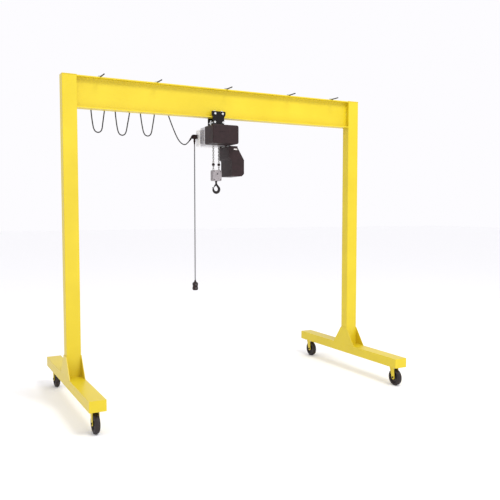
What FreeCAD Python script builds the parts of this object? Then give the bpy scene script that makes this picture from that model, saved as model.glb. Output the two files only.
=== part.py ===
import FreeCAD, Part
import math
import os
import re

import Sketcher
from FreeCAD import Placement, Rotation, Vector

# Portable gantry crane: an I-beam on two box posts, feet on swivel casters, an electric chain
# hoist on a push trolley, and a festoon cable. Millimetres, +Z up, floor at Z = 0, the beam
# runs along X, and the origin is midway between the posts.

doc = FreeCAD.newDocument("GantryCrane")
sheet = doc.addObject("Spreadsheet::Sheet", "Sizes")

dimensions = {
    # steel frame
    "crane_height": 3200, "post_spacing": 3300, "post_width": 138, "post_depth": 110,
    "post_wall": 5, "cap_thickness": 5, "edge_radius": 3,
    "foot_length": 1890, "foot_width": 150, "foot_height": 100, "foot_clearance": 210,
    "foot_wall": 5, "end_thickness": 5, "gusset_rise": 200, "gusset_spread": 400,
    "beam_depth": 305, "beam_drop": 5, "flange_width": 108, "flange_thickness": 12,
    "web_thickness": 8, "root_radius": 9,
    # casters
    "caster_spacing": 1670, "caster_trail": 20, "mount_length": 130, "mount_width": 110,
    "mount_thickness": 6, "race_radius": 35, "race_height": 10, "crown_thickness": 6,
    "leg_thickness": 5, "leg_width": 44, "wheel_diameter": 180, "wheel_width": 48,
    "hub_width": 52, "hub_radius": 20, "web_width": 20, "rim_radius": 64, "axle_radius": 6,
    "kingpin_radius": 8, "king_head": 13, "king_head_thickness": 4, "nut_radius": 10,
    "nut_thickness": 7,
    # clearances
    "running_gap": 0.05, "side_gap": 1, "rolling_gap": 0.3, "loose_gap": 0.4,
    # festoon rail on its arms
    "arm_radius": 6, "arm_reach": 165, "inner_arms": 774, "outer_arms": 1348,
    "saddle_length": 44, "saddle_width": 18, "saddle_strap": 3, "saddle_offset": 32,
    "rail_offset": 150, "rail_length": 3000, "rail_width": 30, "rail_height": 32,
    "rail_wall": 1.6, "rail_slot": 11, "rail_drop": 8, "hanger_length": 30,
    "hanger_wall": 5, "hanger_lip": 10, "stop_length": 24,
    # cable sliders
    "shoe_length": 50, "shoe_height": 12, "stem_length": 26, "stem_drop": 18,
    "side_thickness": 6, "side_offset": 10, "saddle_radius": 34, "saddle_drop": 72,
    "cable_radius": 6, "box_place": 1408, "box_length": 70, "box_depth": 56, "box_height": 27,
    "box_gland": 34,
    # trolley, placed by its distance from the middle of the beam
    "trolley_place": -110, "tread_radius": 28, "tread_width": 21, "tread_inset": 33,
    "rim_height": 4, "rim_width": 4, "plate_gap": 8, "plate_thickness": 8,
    "plate_half": 80, "plate_neck": 64, "plate_above": 25, "plate_below": 115,
    "wheel_pitch": 86, "trolley_axle": 8, "axle_head": 13, "axle_head_width": 5,
    "tie_pitch": 96, "tie_radius": 7, "tie_drop": 50, "spacer_radius": 12,
    "lug_thickness": 30, "lug_half": 62, "lug_flange": 8, "lug_foot": 70,
    "hex_radius": 12.5, "hex_thickness": 11,
    # hoist
    "hoist_drop": 95, "gear_floor": 11.5, "housing_half": 122, "housing_front": -40,
    "housing_rear": 130, "housing_wall": 6, "chamber_rear": 38, "face_half": 145,
    "face_inset": 3, "fin_depth": 8, "fin_width": 6, "fin_pitch": 18, "fin_margin": 25,
    "motor_drop": 86, "motor_bore": 80, "stator_bore": 46, "stator_front": 60,
    "stator_length": 110, "winding_radius": 68, "winding_length": 9, "air_gap": 1,
    "shaft_radius": 7, "drum_shaft": 10, "bearing_wall": 6,
    "cover_half": 147, "cover_front": -250, "cover_gap": 2, "cover_wall": 4,
    "cover_radius": 20, "groove_length": 165, "groove_height": 4, "groove_depth": 1.5,
    "end_half": 113, "end_rear": 285, "end_radius": 22, "end_inset": 3,
    "bearing_place": 236, "vent_width": 8, "vent_length": 110, "vent_pitch": 20,
    "fan_radius": 70, "fan_length": 16, "fan_hub": 14, "blade_thickness": 3,
    "shaft_room": 2.9, "pinion_teeth": 14, "wheel_teeth": 70, "gear_face": 16,
    "gear_gap": 6, "backlash_gap": 0.25,
    # chain and hook block
    "chain_wire": 6.3, "chain_pitch": 19.1, "chain_play": 0.35, "link_width": 21.2,
    "fall_offset": 32, "link_room": 2.4, "sheave_rim": 7, "groove_half": 11.8,
    "sheave_half": 16, "chain_slot": 13, "anchor_rise": 12, "anchor_pin": 3,
    "fall_length": 257, "nut_room": 35, "block_depth": 64,
    "block_wall": 5, "block_cavity": 36, "block_floor": 14, "axle_drop": 41,
    "block_radius": 14, "trunnion_radius": 8, "stopper_radius": 16,
    "stopper_rise": 59, "shank_radius": 11, "swivel_nut": 17, "swivel_height": 14,
    "hook_radius": 36, "hook_drop": 88, "latch_pin": 2.5, "latch_thickness": 2.5,
    # chain bucket, its lengths measured from its near wall
    "bucket_notch": 32, "bucket_length": 176, "bucket_slope": 99,
    "bucket_gap": 6, "bucket_step": 124, "bucket_ledge": 149, "bucket_knee": 143,
    "bucket_shoulder": 14, "bucket_height": 316, "bucket_depth": 270,
    "bucket_wall": 4, "bucket_radius": 14, "bucket_toe": 26,
    # cable entry and pendant
    "entry_reach": 29, "entry_back": 120, "entry_half": 20, "entry_drop": 17,
    "entry_height": 44, "gland_radius": 11, "gland_length": 32,
    "side_gland_out": 21, "side_gland_back": 7, "side_gland_up": 29, "side_gland_length": 40,
    "pendant_drop": 1564, "pendant_height": 91, "pendant_half": 28, "waist_half": 24,
    "pendant_depth": 44, "boot_height": 22, "button_radius": 11, "button_proud": 4,
    "button_length": 12, "button_gap": 0.5, "button_well": 20, "button_pitch": 41,
}
for row, (alias, value) in enumerate(dimensions.items(), start=1):
    sheet.set(f"A{row}", alias)
    sheet.set(f"B{row}", str(value))
    sheet.setAlias(f"B{row}", alias)
doc.recompute()

# lengths that several pieces share, each from the sizes above or from an earlier line
lengths = {
    "foot_top": "foot_clearance + foot_height",
    "beam_top": "crane_height - beam_drop",
    "beam_bottom": "beam_top - beam_depth",
    "rail_top": "beam_top - rail_drop",
    "rail_bottom": "rail_top - rail_height",
    "saddle_axis": "rail_bottom - saddle_drop",
    "crown_top": "foot_clearance - mount_thickness - race_height",
    "trolley_axle_z": "beam_bottom + flange_thickness + rolling_gap + tread_radius",
    "plate_inside": "flange_width / 2 + plate_gap",
    "plate_outside": "plate_inside + plate_thickness",
    "tie_z": "beam_bottom - tie_drop",
    "hoist_top": "beam_bottom - hoist_drop",
    "gear_distance": "fall_offset + link_width / 2 + shaft_radius + shaft_room",
    "gear_module": "2 * gear_distance / (pinion_teeth + wheel_teeth)",
    "housing_height": "motor_drop + gear_distance + gear_module * (wheel_teeth / 2 + 1) + gear_floor",
    "hoist_bottom": "hoist_top - housing_height",
    "motor_z": "hoist_top - motor_drop",
    "drum_z": "motor_z - gear_distance",
    "gear_front": "housing_front - gear_gap - gear_face",
    "anchor_z": "hoist_bottom + anchor_rise",
    "block_top": "hoist_bottom - fall_length",
    "block_height": "axle_drop + fall_offset + sheave_rim + nut_room",
    "block_half": "fall_offset + link_width / 2 + link_room + block_wall",
    "block_bottom": "block_top - block_height",
    "block_axle": "block_top - axle_drop",
    "groove_floor": "fall_offset - link_width / 2 - link_room",
    "sheave_flange": "fall_offset + sheave_rim",
    "chain_outlet": "housing_half - housing_wall - link_width / 2 - loose_gap",
    "bucket_near": "chain_outlet - link_width / 2 - loose_gap - bucket_wall",
    "bucket_top": "hoist_bottom - bucket_gap",
    "entry_x": "trolley_place - end_half - entry_reach",
    "entry_y": "housing_rear + entry_back",
    "entry_bottom": "motor_z - entry_drop",
    "pendant_top": "entry_bottom - pendant_drop",
    "pendant_front": "entry_y - pendant_depth / 2",
}

axis_turns = {
    "z": Rotation(),
    "x": Rotation(Vector(0, 1, 0), 90),
    "y": Rotation(Vector(1, 0, 0), -90),
}
nodes = {}


def bound(text):
    """An expression with shared lengths written out and each alias as a cell of the sheet."""
    def cell(match):
        word = match.group(0)
        return f"({bound(lengths[word])})" if word in lengths else "Sizes." + word
    return re.sub(r"[a-z]+(?:_[a-z]+)+", cell, str(text))


probe = doc.addObject("Part::Vertex", "Probe")


def size(text):
    """The value of an expression, for the shapes that are made from numbers."""
    probe.setExpression("X", bound(text))
    probe.recompute()
    return probe.X.Value


def place(item, x, y, z, turn=None):
    if turn is not None:
        item.Placement = Placement(Vector(), turn)
    for letter, text in zip("xyz", (x, y, z)):
        item.setExpression("Placement.Base." + letter, bound(text))
    return item


def box(length, width, height, x=0, y=0, z=0):
    """A box centred on x and y whose underside is at z."""
    item = doc.addObject("Part::Box", "Box")
    for side, text in zip(("Length", "Width", "Height"), (length, width, height)):
        item.setExpression(side, bound(text))
    return place(item, f"{x} - ({length}) / 2", f"{y} - ({width}) / 2", z)


def cylinder(radius, length, x=0, y=0, z=0, axis="z"):
    """A cylinder that starts at x, y, z and runs along an axis."""
    item = doc.addObject("Part::Cylinder", "Cylinder")
    item.setExpression("Radius", bound(radius))
    item.setExpression("Height", bound(length))
    return place(item, x, y, z, axis_turns[axis])


def hexagon(radius, length, x=0, y=0, z=0, axis="z"):
    item = doc.addObject("Part::Prism", "Hexagon")
    item.Polygon = 6
    item.setExpression("Circumradius", bound(radius))
    item.setExpression("Height", bound(length))
    return place(item, x, y, z, axis_turns[axis])


def fuse(*parts):
    item = doc.addObject("Part::MultiFuse", "Fusion")
    item.Shapes = list(parts)
    return item


def common(*parts):
    item = doc.addObject("Part::MultiCommon", "Common")
    item.Shapes = list(parts)
    return item


def cut(base, *tools):
    item = doc.addObject("Part::Cut", "Cut")
    item.Base = base
    item.Tool = tools[0] if len(tools) == 1 else fuse(*tools)
    return item


def group(*parts):
    item = doc.addObject("Part::Compound", "Group")
    item.Links = list(parts)
    return item


def shaped(shape):
    """A document object for a shape that only Part's own functions can make."""
    item = doc.addObject("Part::Feature", "Shape")
    item.Shape = shape
    return item


def node(label, item):
    item.Label = label
    nodes[label] = item
    return item


def body():
    return doc.addObject("PartDesign::Body", "Body")


def sketch(item, role, *loops):
    """A sketch on an origin plane. A loop is a list of corner points or (u, v, radius)."""
    drawing = item.newObject("Sketcher::SketchObject", "Sketch")
    plane = next(face for face in item.Origin.OriginFeatures if face.Role == role)
    drawing.AttachmentSupport = [(plane, "")]
    drawing.MapMode = "FlatFace"
    for loop in loops:
        first = drawing.GeometryCount
        if isinstance(loop, tuple):
            u, v, radius = loop
            drawing.addGeometry(Part.Circle(Vector(), Vector(0, 0, 1), 1), False)
            ring = drawing.addConstraint(Sketcher.Constraint("Radius", first, 1))
            drawing.setExpression(f"Constraints[{ring}]", bound(radius))
            pins = [(first, 3, 0, 0, u, v)]
        else:
            count = len(loop)
            turn = 2 * math.pi / count
            start = [Vector(math.cos(turn * i), math.sin(turn * i)) for i in range(count)]
            lines = [Part.LineSegment(start[i - 1], start[i]) for i in range(count)]
            drawing.addGeometry(lines, False)
            for i in range(count):
                after = first + (i + 1) % count
                drawing.addConstraint(Sketcher.Constraint("Coincident", first + i, 2, after, 1))
            pins = [
                (first + i, 2, start[i].x, start[i].y, *loop[i]) for i in range(count)
            ]
        for line, end, u_now, v_now, u, v in pins:
            for kind, now, text in (("DistanceX", u_now, u), ("DistanceY", v_now, v)):
                rule = Sketcher.Constraint(kind, -1, 1, line, end, now)
                number = drawing.addConstraint(rule)
                drawing.setExpression(f"Constraints[{number}]", bound(text))
    return drawing


def pad(item, drawing, length):
    """Material to both sides of a sketch, by length in all."""
    feature = item.newObject("PartDesign::Pad", "Pad")
    feature.Profile = drawing
    feature.SideType = "Symmetric"
    feature.setExpression("Length", bound(length))
    return feature


def pocket(item, drawing, length):
    """A cut to both sides of a sketch, by length in all."""
    feature = item.newObject("PartDesign::Pocket", "Pocket")
    feature.Profile = drawing
    feature.SideType = "Symmetric"
    feature.setExpression("Length", bound(length))
    return feature


def revolve(item, drawing, axis):
    feature = item.newObject("PartDesign::Revolution", "Revolution")
    feature.Profile = drawing
    feature.ReferenceAxis = (drawing, [axis])
    feature.Angle = 360
    return feature


def rounded(item, feature, radius, pick):
    """Fillets the edges of a feature that pick chooses."""
    doc.recompute()
    chosen = [f"Edge{i}" for i, edge in enumerate(feature.Shape.Edges, start=1) if pick(edge)]
    fillet = item.newObject("PartDesign::Fillet", "Fillet")
    fillet.Base = (feature, chosen)
    fillet.setExpression("Radius", bound(radius))
    return fillet


def along(axis):
    """Picks straight edges that run along an axis."""
    def pick(edge):
        if not isinstance(edge.Curve, Part.Line):
            return False
        return abs(abs(edge.Curve.Direction.dot(axis)) - 1) < 1e-6
    return pick


def rectangle(width, height, v=0):
    """Corners of a rectangle centred on u = 0 that starts at v."""
    return [
        (f"-({width}) / 2", v), (f"({width}) / 2", v),
        (f"({width}) / 2", f"{v} + {height}"), (f"-({width}) / 2", f"{v} + {height}"),
    ]


def box_tube(role, width, height, wall, length, axis):
    """A welded box section with softened outer edges, centred on its length."""
    item = body()
    solid = pad(item, sketch(item, role, rectangle(width, height)), length)
    solid = rounded(item, solid, "edge_radius", along(axis))
    inner = rectangle(f"{width} - 2 * {wall}", f"{height} - 2 * {wall}", wall)
    pocket(item, sketch(item, role, inner), f"{length} + 2 * {wall}")
    return item


# --- frame: feet, posts, gussets and beam ---------------------------------------------------

def make_frame():
    end_plates = []
    caps = []
    gussets = []
    for side, sign in (("left", -1), ("right", 1)):
        x = f"{sign} * post_spacing / 2"
        inner_length = "foot_length - 2 * end_thickness"
        foot = box_tube(
            "XZ_Plane", "foot_width", "foot_height", "foot_wall", inner_length, Vector(0, 1, 0)
        )
        node(f"{side}_foot_tube", place(foot, x, 0, "foot_clearance"))
        for end in (-1, 1):
            y = f"{end} * (foot_length - end_thickness) / 2"
            end_plates.append(
                box("foot_width", "end_thickness", "foot_height", x, y, "foot_clearance")
            )
        height = "crane_height - cap_thickness - foot_top"
        post = body()
        outline = rectangle("post_width", "post_depth", "-post_depth / 2")
        solid = pad(post, sketch(post, "XY_Plane", outline), height)
        rounded(post, solid, "edge_radius", along(Vector(0, 0, 1)))
        inner = rectangle(
            "post_width - 2 * post_wall", "post_depth - 2 * post_wall",
            "-post_depth / 2 + post_wall",
        )
        pocket(post, sketch(post, "XY_Plane", inner), f"{height} + 2 * post_wall")
        node(f"{side}_post", place(post, x, 0, f"foot_top + ({height}) / 2"))
        caps.append(
            box("post_width", "post_depth", "cap_thickness", x, 0, "crane_height - cap_thickness")
        )
        for face in (-1, 1):
            plate = body()
            corners = [
                ("-gusset_spread / 2", 0), ("gusset_spread / 2", 0),
                ("post_depth / 2", "gusset_rise"), ("-post_depth / 2", "gusset_rise"),
            ]
            pad(plate, sketch(plate, "YZ_Plane", corners), "(foot_width - post_width) / 2")
            middle = f"{x} + {face} * (post_width + foot_width) / 4"
            gussets.append(place(plate, middle, 0, "foot_top"))
    node("foot_end_plates", group(*end_plates))
    node("post_caps", group(*caps))
    node("gusset_plates", group(*gussets))

    beam = body()
    half = "flange_width / 2"
    web = "web_thickness / 2"
    low = "flange_thickness"
    high = "beam_depth - flange_thickness"
    section = [
        (f"-{half}", 0), (half, 0), (half, low), (web, low), (web, high), (half, high),
        (half, "beam_depth"), (f"-{half}", "beam_depth"), (f"-{half}", high),
        (f"-{web}", high), (f"-{web}", low), (f"-{half}", low),
    ]
    solid = pad(beam, sketch(beam, "YZ_Plane", section), "post_spacing - post_width")

    def root(edge):
        middle = edge.CenterOfMass
        on_web = abs(abs(middle.y) - size("web_thickness") / 2) < 0.01
        return on_web and along(Vector(1, 0, 0))(edge)
    rounded(beam, solid, "root_radius", root)
    node("main_beam", place(beam, 0, 0, "beam_bottom"))


# --- casters: swivel plates, forks, wheels and axle bolts ------------------------------------

def make_caster(name, x, y):
    """Everything of one caster that moves. The fork trails towards -Y."""
    axle_z = "wheel_diameter / 2"
    wheel_y = f"{y} - caster_trail"
    reach = f"(crown_top - {axle_z})"
    gap = "(hub_width + 2 * side_gap)"
    outer = f"({gap} + 2 * leg_thickness)"

    arch = body()
    profile = [
        (f"-{outer} / 2", "-leg_width / 2"), (f"-{gap} / 2", "-leg_width / 2"),
        (f"-{gap} / 2", f"{reach} - crown_thickness"),
        (f"{gap} / 2", f"{reach} - crown_thickness"), (f"{gap} / 2", "-leg_width / 2"),
        (f"{outer} / 2", "-leg_width / 2"), (f"{outer} / 2", reach), (f"-{outer} / 2", reach),
    ]
    pad(arch, sketch(arch, "XZ_Plane", profile), "4 * race_radius")
    place(arch, x, wheel_y, axle_z)
    side = body()
    lean = [
        ("-leg_width / 2", "-leg_width / 2"), ("leg_width / 2", "-leg_width / 2"),
        ("leg_width / 2", 0), ("caster_trail + race_radius", f"{reach} - crown_thickness"),
        ("caster_trail + race_radius", reach), ("caster_trail - race_radius", reach),
        ("caster_trail - race_radius", f"{reach} - crown_thickness"), ("-leg_width / 2", 0),
    ]
    block = pad(side, sketch(side, "YZ_Plane", lean), outer)

    def foot_corner(edge):
        low = edge.CenterOfMass.z < -size("leg_width") / 2 + 0.01
        return low and along(Vector(1, 0, 0))(edge)
    rounded(side, block, "leg_width / 2 - side_gap", foot_corner)
    place(side, x, wheel_y, axle_z)
    race = cylinder("race_radius", "race_height - rolling_gap", x, y, "crown_top")
    fork = cut(
        fuse(common(arch, side), race),
        cylinder("axle_radius", f"{outer} + 10", f"{x} - {outer} / 2 - 5", wheel_y, axle_z, "x"),
        cylinder(
            "kingpin_radius + running_gap", "race_height + 2 * crown_thickness", x, y,
            "crown_top - crown_thickness - 1",
        ),
    )
    node(f"{name}_fork", fork)

    wheel = body()
    bore = "axle_radius + running_gap"
    half = "wheel_width / 2"
    tread = "wheel_diameter / 2"
    profile = [
        ("-hub_width / 2", bore), ("hub_width / 2", bore), ("hub_width / 2", "hub_radius"),
        ("web_width / 2", "hub_radius + 6"), ("web_width / 2", "rim_radius - 6"),
        (f"{half} - 2", "rim_radius"), (half, "rim_radius + 6"), (half, f"{tread} - 9"),
        (f"{half} - 9", tread), (f"-{half} + 9", tread), (f"-{half}", f"{tread} - 9"),
        (f"-{half}", "rim_radius + 6"), (f"-{half} + 2", "rim_radius"),
        ("-web_width / 2", "rim_radius - 6"), ("-web_width / 2", "hub_radius + 6"),
        ("-hub_width / 2", "hub_radius"),
    ]
    revolve(wheel, sketch(wheel, "XZ_Plane", profile), "H_Axis")
    node(f"{name}_wheel", place(wheel, x, wheel_y, axle_z))

    head = f"{x} - {outer} / 2 - nut_thickness"
    bolt = fuse(
        cylinder("axle_radius", f"{outer} + nut_thickness", f"{x} - {outer} / 2", wheel_y, axle_z,
                 "x"),
        hexagon("nut_radius", "nut_thickness", head, wheel_y, axle_z, "x"),
        hexagon("nut_radius", "nut_thickness", f"{x} + {outer} / 2", wheel_y, axle_z, "x"),
    )
    node(f"{name}_axle", bolt)


def make_casters():
    plates = []
    for side, across in (("left", -1), ("right", 1)):
        for end, lengthways in (("front", -1), ("rear", 1)):
            x = f"{across} * post_spacing / 2"
            y = f"{lengthways} * caster_spacing / 2"
            make_caster(f"{side}_{end}", x, y)
            under = "crown_top - crown_thickness - king_head_thickness"
            plates.append(fuse(
                box("mount_width", "mount_length", "mount_thickness", x, y,
                    "foot_clearance - mount_thickness"),
                cylinder("kingpin_radius", f"foot_clearance - ({under})", x, y, under),
                cylinder("king_head", "king_head_thickness - rolling_gap", x, y, under),
            ))
    node("caster_mounts", group(*plates))


# --- festoon: arms, rail, sliders and the looped cable ---------------------------------------

def make_rail():
    arms = []
    saddles = []
    hangers = []
    rod_z = "beam_top + arm_radius"
    places = ["-outer_arms", "-inner_arms", "0", "inner_arms", "outer_arms"]
    channel = "rail_width + 2 * running_gap"
    for x in places:
        arms.append(cylinder("arm_radius", "2 * arm_reach", x, "-arm_reach", rod_z, "y"))
        for end in (-1, 1):
            y = f"{end} * saddle_offset"
            strap = box(
                "saddle_length", "saddle_width", "2 * arm_radius + saddle_strap", x, y, "beam_top"
            )
            bore = cylinder("arm_radius + running_gap", "2 * arm_reach", x, "-arm_reach", rod_z,
                            "y")
            saddles.append(cut(strap, bore))
        low = "rail_top - hanger_lip"
        tall = f"beam_top + 2 * arm_radius + hanger_wall - ({low})"
        block = box("hanger_length", "rail_width + 2 * hanger_wall", tall, x, "rail_offset", low)
        hangers.append(cut(
            block,
            cylinder("arm_radius + running_gap", "2 * arm_reach", x, "0", rod_z, "y"),
            box("2 * hanger_length", channel, "hanger_lip + running_gap", x, "rail_offset", low),
        ))
    node("festoon_arms", group(*arms))
    node("arm_saddles", group(*saddles))
    node("rail_hangers", group(*hangers))

    rail = body()
    inside = "rail_width / 2 - rail_wall"
    slot = "rail_slot / 2"
    section = [
        (f"-{slot}", 0), (f"-{slot}", "rail_wall"), (f"-({inside})", "rail_wall"),
        (f"-({inside})", "rail_height - rail_wall"), (inside, "rail_height - rail_wall"),
        (inside, "rail_wall"), (slot, "rail_wall"), (slot, 0), ("rail_width / 2", 0),
        ("rail_width / 2", "rail_height"), ("-rail_width / 2", "rail_height"),
        ("-rail_width / 2", 0),
    ]
    pad(rail, sketch(rail, "YZ_Plane", section), "rail_length")
    node("festoon_rail", place(rail, 0, "rail_offset", "rail_bottom"))


def make_end_fittings():
    """The supply box that the cable leaves, and the stop at the rail's far end."""
    bottom = "rail_bottom - box_height"
    supply = fuse(
        box("box_length", "box_depth", "box_height", "-box_place", "rail_offset", bottom),
        cylinder("gland_radius", "box_gland", "-box_place", "rail_offset", f"{bottom} - box_gland"),
    )
    stop = box(
        "stop_length", "rail_width - 2 * rail_wall", "rail_height - 2 * rail_wall",
        "rail_length / 2 - stop_length / 2", "rail_offset", "rail_bottom + rail_wall",
    )
    node("rail_end_fittings", group(supply, stop))


def make_slider(number, x):
    """A moulded shoe in the rail, a stem, and a half-round saddle that the cable lies on."""
    inside = "rail_bottom + rail_wall + loose_gap"
    stem_low = "rail_bottom - stem_drop"
    wide = "rail_width - 2 * rail_wall - 2 * loose_gap"
    side_y = "rail_offset + side_offset + side_thickness / 2"
    reach = "side_offset + side_thickness + rail_slot / 2 - loose_gap"
    shoe = box("shoe_length", wide, "shoe_height", x, "rail_offset", inside)
    stem = box(
        "stem_length", "rail_slot - 2 * loose_gap", f"{inside} - ({stem_low})", x, "rail_offset",
        stem_low,
    )
    bridge = box(
        "stem_length", reach, "side_thickness",
        x, f"rail_offset + side_offset + side_thickness - ({reach}) / 2", stem_low,
    )
    web = box("stem_length", "side_thickness", f"{stem_low} + side_thickness - saddle_axis", x,
              side_y, "saddle_axis")
    drum_length = "2 * side_offset + side_thickness"
    drum = cylinder("saddle_radius", drum_length, x, "rail_offset - side_offset", "saddle_axis",
                    "y")
    lower = box("3 * saddle_radius", "3 * saddle_radius", "2 * saddle_radius", x, "rail_offset",
                "saddle_axis - 2 * saddle_radius")
    node(f"cable_slider_{number}", fuse(shoe, stem, bridge, web, cut(drum, lower)))


# The festoon cable's route: out of the supply box, three loops, then down to the hoist.
cable_route = [Vector(*point) for point in (
    (-1408, 150, 3094), (-1408, 150, 3020), (-1400, 150, 2900), (-1387, 150, 2780),
    (-1372, 150, 2706), (-1333, 150, 2684), (-1294, 150, 2706), (-1284, 150, 2780),
    (-1266, 150, 2900), (-1250, 150, 3030), (-1241, 150, 3110), (-1200, 150, 3132),
    (-1159, 150, 3110), (-1159, 150, 3030), (-1156, 150, 2900), (-1143, 150, 2780),
    (-1126, 150, 2691), (-1087, 150, 2669), (-1048, 150, 2691), (-1031, 150, 2780),
    (-1007, 150, 2900), (-996, 150, 3030), (-989, 150, 3110), (-950, 150, 3131),
    (-911, 150, 3110), (-906, 150, 3030), (-893, 150, 2900), (-876, 150, 2780),
    (-857, 150, 2698), (-818, 150, 2676), (-779, 150, 2698), (-764, 150, 2780),
    (-742, 150, 2900), (-731, 150, 3030), (-724, 150, 3110), (-685, 150, 3131),
    (-646, 150, 3110), (-633, 150, 3030), (-588, 152, 2905), (-515, 166, 2740),
    (-455, 190, 2648), (-385, 215, 2612), (-329, 240, 2648),
)]
gland_root = Vector(-273, 257, 2721)
cable_route.append(gland_root + (cable_route[-1] - gland_root).normalize() * 40)
slider_places = (-1200, -950, -685)


def cord_tube(route, radius, name):
    """Straight runs joined by tangent arcs, swept with a round section."""
    edges = []
    here = route[0]
    radii = []
    for before, corner, after in zip(route, route[1:], route[2:]):
        arriving = (corner - before).normalize()
        leaving = (after - corner).normalize()
        half_turn = arriving.getAngle(leaving) / 2
        shorter = min((corner - before).Length, (after - corner).Length)
        tangent = 0.45 * shorter
        radii.append(tangent / math.tan(half_turn))
        start = corner - arriving * tangent
        end = corner + leaving * tangent
        bisector = (leaving - arriving).normalize()
        depth = radii[-1] * (1 / math.cos(half_turn) - 1)
        edges.append(Part.LineSegment(here, start).toShape())
        edges.append(Part.Arc(start, corner + bisector * depth, end).toShape())
        here = end
    edges.append(Part.LineSegment(here, route[-1]).toShape())
    path = Part.Wire(edges)
    direction = route[1] - route[0]
    section = Part.Wire(Part.makeCircle(radius, route[0], direction))
    tube = path.makePipeShell([section], True, True)
    expected = math.pi * radius ** 2 * path.Length
    print(f"{name}: {path.Length:.0f} mm, volume {tube.Volume / expected:.4f} of section x length")
    print(f"{name} radii:", " ".join(f"{r:.0f}" for r in radii), f"smallest {min(radii):.1f}")
    return tube


def make_festoon():
    make_rail()
    make_end_fittings()
    for number, x in enumerate(slider_places, start=1):
        make_slider(number, x)
    cable = cord_tube(cable_route, size("cable_radius"), "festoon_cable")
    node("festoon_cable", shaped(cable))


# --- trolley -------------------------------------------------------------------------------

def across_trolley(side, y):
    """The Y of a piece that is y away from the beam's middle plane, on one side."""
    return f"{side} * ({y})"


def make_trolley():
    x = "trolley_place"
    axle = "wheel_pitch / 2"
    tie = "tie_pitch / 2"
    for name, side in (("front", -1), ("rear", 1)):
        plate = body()
        up = "trolley_axle_z + plate_above"
        low = f"{up} - plate_below - plate_above"
        outline = [
            ("-plate_neck", low), ("plate_neck", low), ("plate_neck", "beam_bottom + 4"),
            ("plate_half", "beam_bottom + 30"), ("plate_half", up), ("-plate_half", up),
            ("-plate_half", "beam_bottom + 30"), ("-plate_neck", "beam_bottom + 4"),
        ]
        holes = [(f"{end} * {axle}", "trolley_axle_z", "trolley_axle") for end in (-1, 1)]
        holes += [(f"{end} * {tie}", "tie_z", "tie_radius + running_gap") for end in (-1, 1)]
        solid = pad(plate, sketch(plate, "XZ_Plane", outline), "plate_thickness")
        corner = rounded(plate, solid, "plate_thickness", along(Vector(0, 1, 0)))
        pocket(plate, sketch(plate, "XZ_Plane", *holes), "3 * plate_thickness")
        y = across_trolley(side, "plate_inside + plate_thickness / 2")
        node(f"trolley_{name}_plate", place(plate, x, y, 0))

    bolts = []
    axles = []
    for end in (-1, 1):
        bolt_x = f"{x} + {end} * {tie}"
        length = "2 * (plate_outside + hex_thickness + 3)"
        parts = [cylinder("tie_radius", length, bolt_x, f"-({length}) / 2", "tie_z", "y")]
        for side in (-1, 1):
            nut_y = "plate_outside" if side > 0 else "-plate_outside - hex_thickness"
            parts.append(hexagon("hex_radius", "hex_thickness", bolt_x, nut_y, "tie_z", "y"))
        bolts.append(fuse(*parts))
        for side in (-1, 1):
            gap = "(plate_inside - lug_thickness / 2)"
            start = "lug_thickness / 2" if side > 0 else "-plate_inside"
            bolts.append(cut(
                cylinder("spacer_radius", gap, bolt_x, start, "tie_z", "y"),
                cylinder("tie_radius + side_gap / 4", gap, bolt_x, start, "tie_z", "y"),
            ))
        axle_x = f"{x} + {end} * {axle}"
        for name, side in (("front", -1), ("rear", 1)):
            inner = "tread_inset - axle_head_width - side_gap"
            reach = f"(plate_outside + hex_thickness - ({inner}))"
            shaft_y = inner if side > 0 else f"-({inner}) - {reach}"
            head_y = inner if side > 0 else f"-({inner}) - axle_head_width"
            nut_y = "plate_outside" if side > 0 else "-plate_outside - hex_thickness"
            axles.append(fuse(
                cylinder("trolley_axle", reach, axle_x, shaft_y, "trolley_axle_z", "y"),
                cylinder("axle_head", "axle_head_width", axle_x, head_y, "trolley_axle_z", "y"),
                hexagon("hex_radius", "hex_thickness", axle_x, nut_y, "trolley_axle_z", "y"),
            ))
            wheel = body()
            flange_edge = "flange_width / 2 + side_gap"
            rim = "tread_radius + rim_height"
            profile = [
                ("trolley_axle + running_gap", "tread_inset"),
                ("tread_radius", "tread_inset"), ("tread_radius", flange_edge),
                (rim, f"{flange_edge} + 1"), (rim, f"{flange_edge} + rim_width"),
                ("trolley_axle + running_gap", f"{flange_edge} + rim_width"),
            ]
            revolve(wheel, sketch(wheel, "XZ_Plane", profile), "V_Axis")
            turn = Rotation(Vector(1, 0, 0), -90 * side)
            hand = "left" if end < 0 else "right"
            place(wheel, axle_x, 0, "trolley_axle_z", turn)
            node(f"trolley_{name}_{hand}_wheel", wheel)
    node("trolley_tie_bolts", group(*bolts))
    node("trolley_axles", group(*axles))

    lug = box("2 * lug_half", "lug_thickness", "tie_z + 22 - hoist_top", x, 0, "hoist_top")
    foot = box("2 * lug_half", "lug_foot", "lug_flange", x, 0, "hoist_top")
    holes = [
        cylinder("tie_radius + side_gap / 4", "lug_foot", f"{x} + {end} * {tie}", "-lug_foot / 2",
                 "tie_z", "y")
        for end in (-1, 1)
    ]
    heads = [
        hexagon("nut_radius", "nut_thickness", f"{x} + {end} * {tie}", f"{side} * 25",
                "hoist_top + lug_flange")
        for end in (-1, 1) for side in (-1, 1)
    ]
    node("suspension_lug", group(cut(fuse(lug, foot), *holes), *heads))


# --- hoist ---------------------------------------------------------------------------------

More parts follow.
